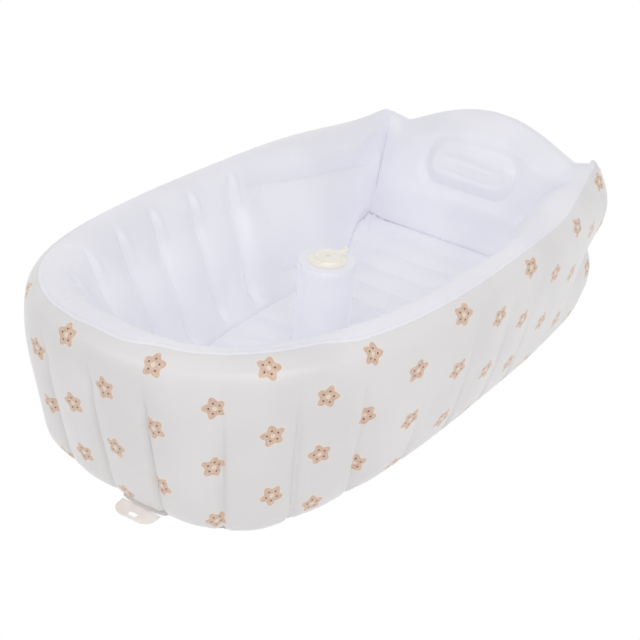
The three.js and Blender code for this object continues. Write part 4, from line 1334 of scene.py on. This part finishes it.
def makeCreaseFlange():
    # a fluttering strip of weld standing along the crease between floor and backrest
    y = np.linspace(-flange["half"], flange["half"], 240)[:, None]
    up = np.linspace(0, 1, 8)[None]
    (rise, *wavesUp), (aside, *wavesAside) = flange["flutterUp"], flange["flutterAside"]
    tall = flange["height"] * (1 + rise * ripple(*(y / wave for wave in wavesUp)))
    z = wall["floorHeadHeight"] + flange["gap"] + up * tall
    flutter = aside * ripple(*(y / wave for wave in wavesAside))
    x = backPlane(z) - flange["forward"] + up * (flutter - flange["lean"])
    near = np.stack([x, y + 0 * z, z], 2)
    far = near[:, ::-1] + np.array([flange["thickness"], 0, 0])
    return skin("creaseFlange", np.concatenate([near, far], 1))


dressInner(makeCreaseFlange(), "crease_flange")
print("crease flange")


post = {
    "radius": 44.5,
    "bottom": 14.3,
    "top": 178.0,
    "waist": 2.0,
    "waistPower": 6,
    # the straight foot ends here and the waisted body starts here, and it ends this far below the top
    "footTop": 40,
    "bodyBottom": 44,
    "bodyEnd": 9,
    # the rounded shoulder's radius and how far out it reaches
    "rounding": 5,
    "shoulder": 4.6,
    # soft upright folds near both welds: height, count and offset; the welds' heights and how far they reach
    "folds": [(0.55, 11, 1), (0.35, 23, 0)],
    "foldEnds": [(50, 16), (166, 12)],
    "disc": [(42.5, 0.3), (43.5, 0.5), (43.3, 0.95), (42.3, 1.1)],
    "ring": [(44.8, 38.3), (48.5, 38.3), (49, 38.6), (48.5, 39.1), (44.8, 39.1)],
    "sides": 144,
}


def turned(name, profile, place=(0, 0), lift=0, sides=64, wave=None, solid=True):
    # a profile of (radius, height) turned round an upright axis, where a wave may add to the radius
    if solid:
        profile = [(0.001, profile[0][1]), *profile, (0.001, profile[-1][1])]
    radius, height = np.array(profile, float).T[:, None]
    t = turn(sides)[:, None]
    r = radius + (wave(t, radius, height) if wave else 0 * t)
    z = height + lift + 0 * t
    return skin(name, np.stack([place[0] + r * np.cos(t), place[1] + r * np.sin(t), z], 2), loopU=True)


def postWave(t, r, z):
    ends = sum(bell(z - middle, reach) for middle, reach in post["foldEnds"])
    folds = sum(height * np.sin(count * t + offset) for height, count, offset in post["folds"])
    return folds * ends * (r > 20)


def makePost():
    radius, top, rounding = post["radius"], post["top"], post["rounding"]
    rise = np.linspace(0, 1, 50)
    waist = post["waist"] * (1 - np.abs(2 * rise - 1) ** post["waistPower"])
    arc = np.linspace(0, math.pi / 2, 10)
    profile = [(radius, post["bottom"]), (radius, post["footTop"])]
    profile += zip(radius - waist, mix(post["bodyBottom"], top - post["bodyEnd"], rise))
    profile += zip(radius - rounding + post["shoulder"] * np.cos(arc), top + rounding * (np.sin(arc) - 1))
    profile.append((radius * 0.7, top))
    return turned("seatPost", profile, layout["post"], 0, post["sides"], postWave)


def makePostDiscs():
    # the disc welded on the top and the flat ring welded round the foot
    place, sides = layout["post"], post["sides"]
    disc = turned("postTopDisc", post["disc"], place, post["top"], sides)
    return disc, turned("postFlange", post["ring"], place, 0, sides, solid=False)


# the post's film glows more than the walls: painted light that lifts it out of the near wall's shade
postFilm = plainFilm("postFilm", "inner", "post")
dress(makePost(), "tub", postFilm, "inner_skin", "seat_post")
topDisc, footRing = makePostDiscs()
dress(topDisc, "tub", postFilm, "inner_skin", "post_top_disc")
dress(footRing, "tub", floorFilm, "floor_skin", "post_base_flange")
print("seat post")


def softVinyl(name, low, high, glow, alpha=1.0, roughness=0.4):
    finish = Finish(name)
    cloud = finish.noise(finish.place(), 60, 3)
    tint = finish.color(cloud.fade(0.3, 0.7), rgb(low), rgb(high))
    grain = finish.bump(finish.noise(finish.place(), 1500, 2), 0.00006, 0.6)
    rough = roughness + 0.12 * (cloud - 0.5)
    # the vinyl glows in its own tint: painted light that brightens the valves and the tab
    finish.set(Emission_Color=tint, Emission_Strength=glow, Coat_Weight=0.15, Coat_Roughness=0.2)
    return finish.set(Base_Color=tint, Normal=grain, Roughness=rough, Alpha=alpha)


# the third number is the strength of the painted light that the vinyl glows with
creamVinyl = softVinyl("creamVinyl", "f3f0e5", "f8f5ee", 0.12)
milkyVinyl = softVinyl("milkyVinyl", "efe8e3", "f5f0ed", 0.16, 0.82, 0.22)

valve = {
    "flangeRadius": 29.0,
    "collarRadius": 20.5,
    "collarTop": 5.3,
    "boreRadius": 13.0,
    "capRadius": 20.0,
    "capBottom": 5.6,
    "capTop": 7.6,
    "tabHalfWidth": 5.0,
    "ringRadius": 5.4,
    "ringHole": 2.7,
    # half the angle of the tab's share of the outline, in radians, and the points there and on the rest
    "tabAngles": (0.32, 121, 0.34, 150),
    # a cap's crumples, its tab's turn in radians, how far the tab reaches and how much it curls up
    "plainCap": (0.5, 0.0, 35.0, 0.0),
    "postCap": (1.6, -0.36, 30.0, 0.03),
    # shares of the outline, with heights above the cap's bottom and its top
    "capUnder": [(0.001, 0), (0.93, 0), (0.985, 0.15), (1, 0.7)],
    "capOver": [
        (1, -0.6), (0.975, -0.1), (0.94, 0), (0.86, -0.05), (0.82, -0.35), (0.6, -0.45), (0.35, -0.4),
        (0.001, -0.4),
    ],
    "plug": [(10.9, -2.9), (11.3, -2.6), (12.4, -0.2), (12.4, 0.6)],
    # the strap: width, thickness, its low end's height, gap to the collar, start and bow
    "strap": (9, 1, 2.0, 0.5),
    "strapIn": 0.4,
    "strapOut": (0.6, 4.0),
    # name: centre, tilt about Y in degrees, turn about Z in degrees
    "seats": {
        "wall": ((482.1, 0.0, 158.36), 90.0, 0.0),
        "backrest": ((469.784, 0.0, 251.5), 74.5176, 0.0),
        "floor": ((*layout["floorValve"], 32.0), 0.0, 180.0),
        "post": ((*layout["post"], 179.1), 0.0, 0.0),
    },
}


def placing(seat):
    centre, tilt, spin = valve["seats"][seat]
    tilted = Matrix.Rotation(math.radians(tilt), 4, "Y") @ Matrix.Rotation(math.radians(spin), 4, "Z")
    return shift(centre) @ tilted


def valveBody(seat):
    # flange with a rolled rim, a tapered collar with a lip, and the bore down to its thin flap
    f, c, b, top = valve["flangeRadius"], valve["collarRadius"], valve["boreRadius"], valve["collarTop"]
    profile = [(f - 1, 0.3), (f - 0.2, 0.5), (f, 0.85), (f - 0.5, 1.2), (f - 3, 1.15), (c + 2.2, 1.2)]
    profile += [(c + 0.7, 1.6), (c + 0.1, 2.6), (c - 0.2, top - 0.7), (c - 0.6, top - 0.15), (c - 1.3, top)]
    profile += [(b + 0.9, top), (b + 0.2, top - 0.3), (b, top - 1), (b, 1.5), (b - 0.6, 1.1)]
    return turned(seat + "ValveBody", profile, sides=96)


def tabOutline(t, reach):
    # how far the finger tab reaches at each angle: its straight sides, then the round end, and 0 elsewhere
    sin, cos = np.sin(t), np.cos(t)
    side = valve["tabHalfWidth"] / np.maximum(np.abs(sin), 1e-4)
    inside = np.clip(valve["ringRadius"] ** 2 - (reach * sin) ** 2, 0, None)
    end = np.where(inside > 0, reach * cos + np.sqrt(inside), 0)
    return np.where(cos > 0.5, np.where(side * cos < reach, side, end), 0)


def valveCap(seat):
    # outline in polar form: the disc's radius, or the reach of the finger tab where that is further
    crumple, aside, reach, curl = valve["postCap" if seat == "post" else "plainCap"]
    tabEnd, tabPoints, start, points = valve["tabAngles"]
    t = np.linspace(start, 2 * math.pi - start, points)
    t = np.concatenate([np.linspace(-tabEnd, tabEnd, tabPoints), t])
    edge = np.maximum(valve["capRadius"], tabOutline(t, reach))
    low, high = valve["capBottom"], valve["capTop"]
    profile = [(share, low + z) for share, z in valve["capUnder"]]
    profile += [(share, high + z) for share, z in valve["capOver"]]
    rings = []
    for share, z in profile:
        r = edge * share
        x, y = r * np.cos(t + aside), r * np.sin(t + aside)
        waves = 0.5 + 0.5 * np.sin(x / 4.2 + y / 6 + 1) * np.cos(y / 5 - x / 9)
        z = z + curl * np.clip(r - valve["capRadius"], 0, None) ** 2 + crumple * ease(r, 6, 26) * waves
        rings.append(np.stack([x, y, z], 1))
    piece = skin(seat + "ValveCap", np.stack(rings, 1), loopU=True)
    hole = circle((reach * math.cos(aside), reach * math.sin(aside)), valve["ringHole"], 24)
    bore(piece, seat + "RingCutter", hole, low - 3, high + 20)
    return piece, turned(seat + "ValvePlug", valve["plug"], lift=low)


def ribbon(name, path, width, thickness):
    # a strap of even thickness along a path of (x, z) points, its width running along y
    run = unit(np.gradient(path, axis=0))
    off = np.stack([-run[:, 1], run[:, 0]], 1) * thickness / 2
    rows = [(-1, 0.55), (-0.9, 1), (0, 1), (0.9, 1), (1, 0.55)]
    rings = []
    for face, across, share in [(1, *row) for row in rows] + [(-1, *row) for row in rows[::-1]]:
        flat = path + off * share * face
        rings.append(np.stack([flat[:, 0], np.full(len(path), across * width / 2), flat[:, 1]], 1))
    return skin(name, np.stack(rings, 1))


def valveStrap(seat):
    # a living hinge: half a turn of flat strap from the collar's foot up to the cap
    width, thickness, low, gap = valve["strap"]
    (straight, bow), high, near = valve["strapOut"], valve["capTop"] - 0.6, -valve["collarRadius"] - gap
    t = np.linspace(-math.pi / 2, math.pi / 2, 24)
    arc = np.stack([near - straight - bow * np.cos(t), mix(low, high, 0.5 + 0.5 * np.sin(t))], 1)
    path = np.vstack([[near + valve["strapIn"], low], arc, [near + valve["strapIn"], high]])
    ends = (placing(seat) @ (Vector((near - bow, 0, z)) / perMetre) for z in (low + 1, high - 1))
    return ribbon(seat + "ValveStrap", path, width, thickness), *ends


def dressVinyl(piece, body, *nodes):
    return dress(piece, body, creamVinyl, "valve_vinyl", *nodes)


for seat in valve["seats"]:
    body, (cap, plug), (strap, start, end) = valveBody(seat), valveCap(seat), valveStrap(seat)
    for piece in (body, cap, plug, strap):
        piece.data.transform(placing(seat))
    dressVinyl(body, "tub", seat + "_valve_body")
    dressVinyl(cap, seat + "_cap", seat + "_valve_cap")
    dressVinyl(plug, seat + "_cap")
    dressVinyl(strap, None, seat + "_valve_strap")
    seat + "_cap"
    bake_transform(strap)
print("valves")


drain = {
    "bore": 9.0,
    "radius": 13.0,
    "lip": 18.0,
    "top": 31.9,
    # profiles above the tube's top: the plug's head with its rim and its shank with a groove
    "head": [(13.4, 0.3), (14, 0.8), (14, 2.1), (13.4, 2.7), (11.5, 2.7), (11, 2.3), (4, 2.2)],
    "shank": [(7.6, -11.7), (8.2, -11.2), (8.6, -4), (8.1, -3.2), (8.6, -2.4), (8.6, 0.6)],
    # the grip's half width, height and fullness, and its foot's height
    "grip": (6.4, 7.6, 0.7, 2.1),
    "gripStrap": (3, 2.2),
    "tetherStrap": (5, 1.0),
    "tetherEnds": (19.6, 14.5),
    "tether": [(14.4, 0.9), (16, 1.0), (18, 0.9), (19.4, 0.1), (19.7, -0.8), (19.6, -1.3)],
}


def makeDrain():
    b, r, lip, top, place = drain["bore"], drain["radius"], drain["lip"], drain["top"], layout["drain"]
    profile = [(b, 0), (r - 0.4, 0), (r, 0.4), (r, top - 1.6), (lip - 0.6, top - 1.6), (lip, top - 1.2)]
    profile += [(lip, top - 0.5), (lip - 0.6, top), (b + 0.5, top), (b, top - 0.4)]
    dressVinyl(turned("drainTube", profile, place, solid=False), "tub", "drain_tube")
    dressVinyl(turned("drainPlugHead", drain["head"], place, top), "drain_plug_body", "drain_plug")
    dressVinyl(turned("drainPlugShank", drain["shank"], place, top), "drain_plug_body")
    half, height, fullness, foot = drain["grip"]
    t = np.linspace(0, math.pi, 30)
    loop = np.stack([half * np.cos(t), top + foot + height * np.sin(t) ** fullness], 1)
    grip = ribbon("drainPlugGrip", loop, *drain["gripStrap"])
    knots = np.array(drain["tether"])
    t = np.linspace(0, len(knots) - 1, 24)
    path = np.stack([np.interp(t, np.arange(len(knots)), knots[:, k]) for k in (0, 1)], 1)
    tether = ribbon("drainTether", path + [0, top], *drain["tetherStrap"])
    for piece in (grip, tether):
        piece.data.transform(shift((*place, 0)))
    dressVinyl(grip, "drain_plug_body")
    dressVinyl(tether, None, "drain_tether")
    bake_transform(tether)


makeDrain()
print("drain")


tab = {
    "root": (-453.36, -38.0),
    "outward": (-0.995825, -0.091279),
    "halfWidth": 30.0,
    "reach": 24.0,
    "corner": 17.0,
    "thickness": 0.5,
    "slices": 61,
    "points": 20,
    # a slow wave: height, where it starts and is full, and its length
    "wave": (0.9, (4, 27), 9),
    "slot": (15.84, 3.0, 3.5),
}


def makeTab():
    # slices across the width, each a thin loop from the weld to the rounded end
    y = tab["halfWidth"] * np.sin(np.linspace(-math.pi / 2, math.pi / 2, tab["slices"]))[:, None]
    over = np.maximum(np.abs(y) - tab["halfWidth"] + tab["corner"], 0)
    reach = tab["reach"] - tab["corner"] + np.sqrt(np.clip(tab["corner"] ** 2 - over**2, 0, None))
    x = reach * np.linspace(0, 1, tab["points"])[None]
    height, span, wave = tab["wave"]
    low = np.stack([x, y + 0 * x, height * ease(x, *span) * (0.5 + 0.5 * np.sin(y / wave))], 2)
    high = low[:, ::-1] + np.array([0, 0, tab["thickness"]])
    piece = skin("hangingTab", np.concatenate([low, high], 1))
    middle, radius, half = tab["slot"]
    t = turn(40)
    ring = np.stack([middle + radius * np.cos(t), half * np.sign(np.sin(t)) + radius * np.sin(t)], 1)
    bore(piece, "slotCutter", ring, -3, 6, "EXACT")
    out = Vector((*tab["outward"], 0))
    facing = Matrix((out, Vector((-out.y, out.x, 0)), Vector((0, 0, 1)))).transposed().to_4x4()
    piece.data.transform(shift((*tab["root"], 0)) @ facing)
    return piece


dress(makeTab(), "tab", milkyVinyl, "clear_vinyl", "hanging_tab")
print("tab")
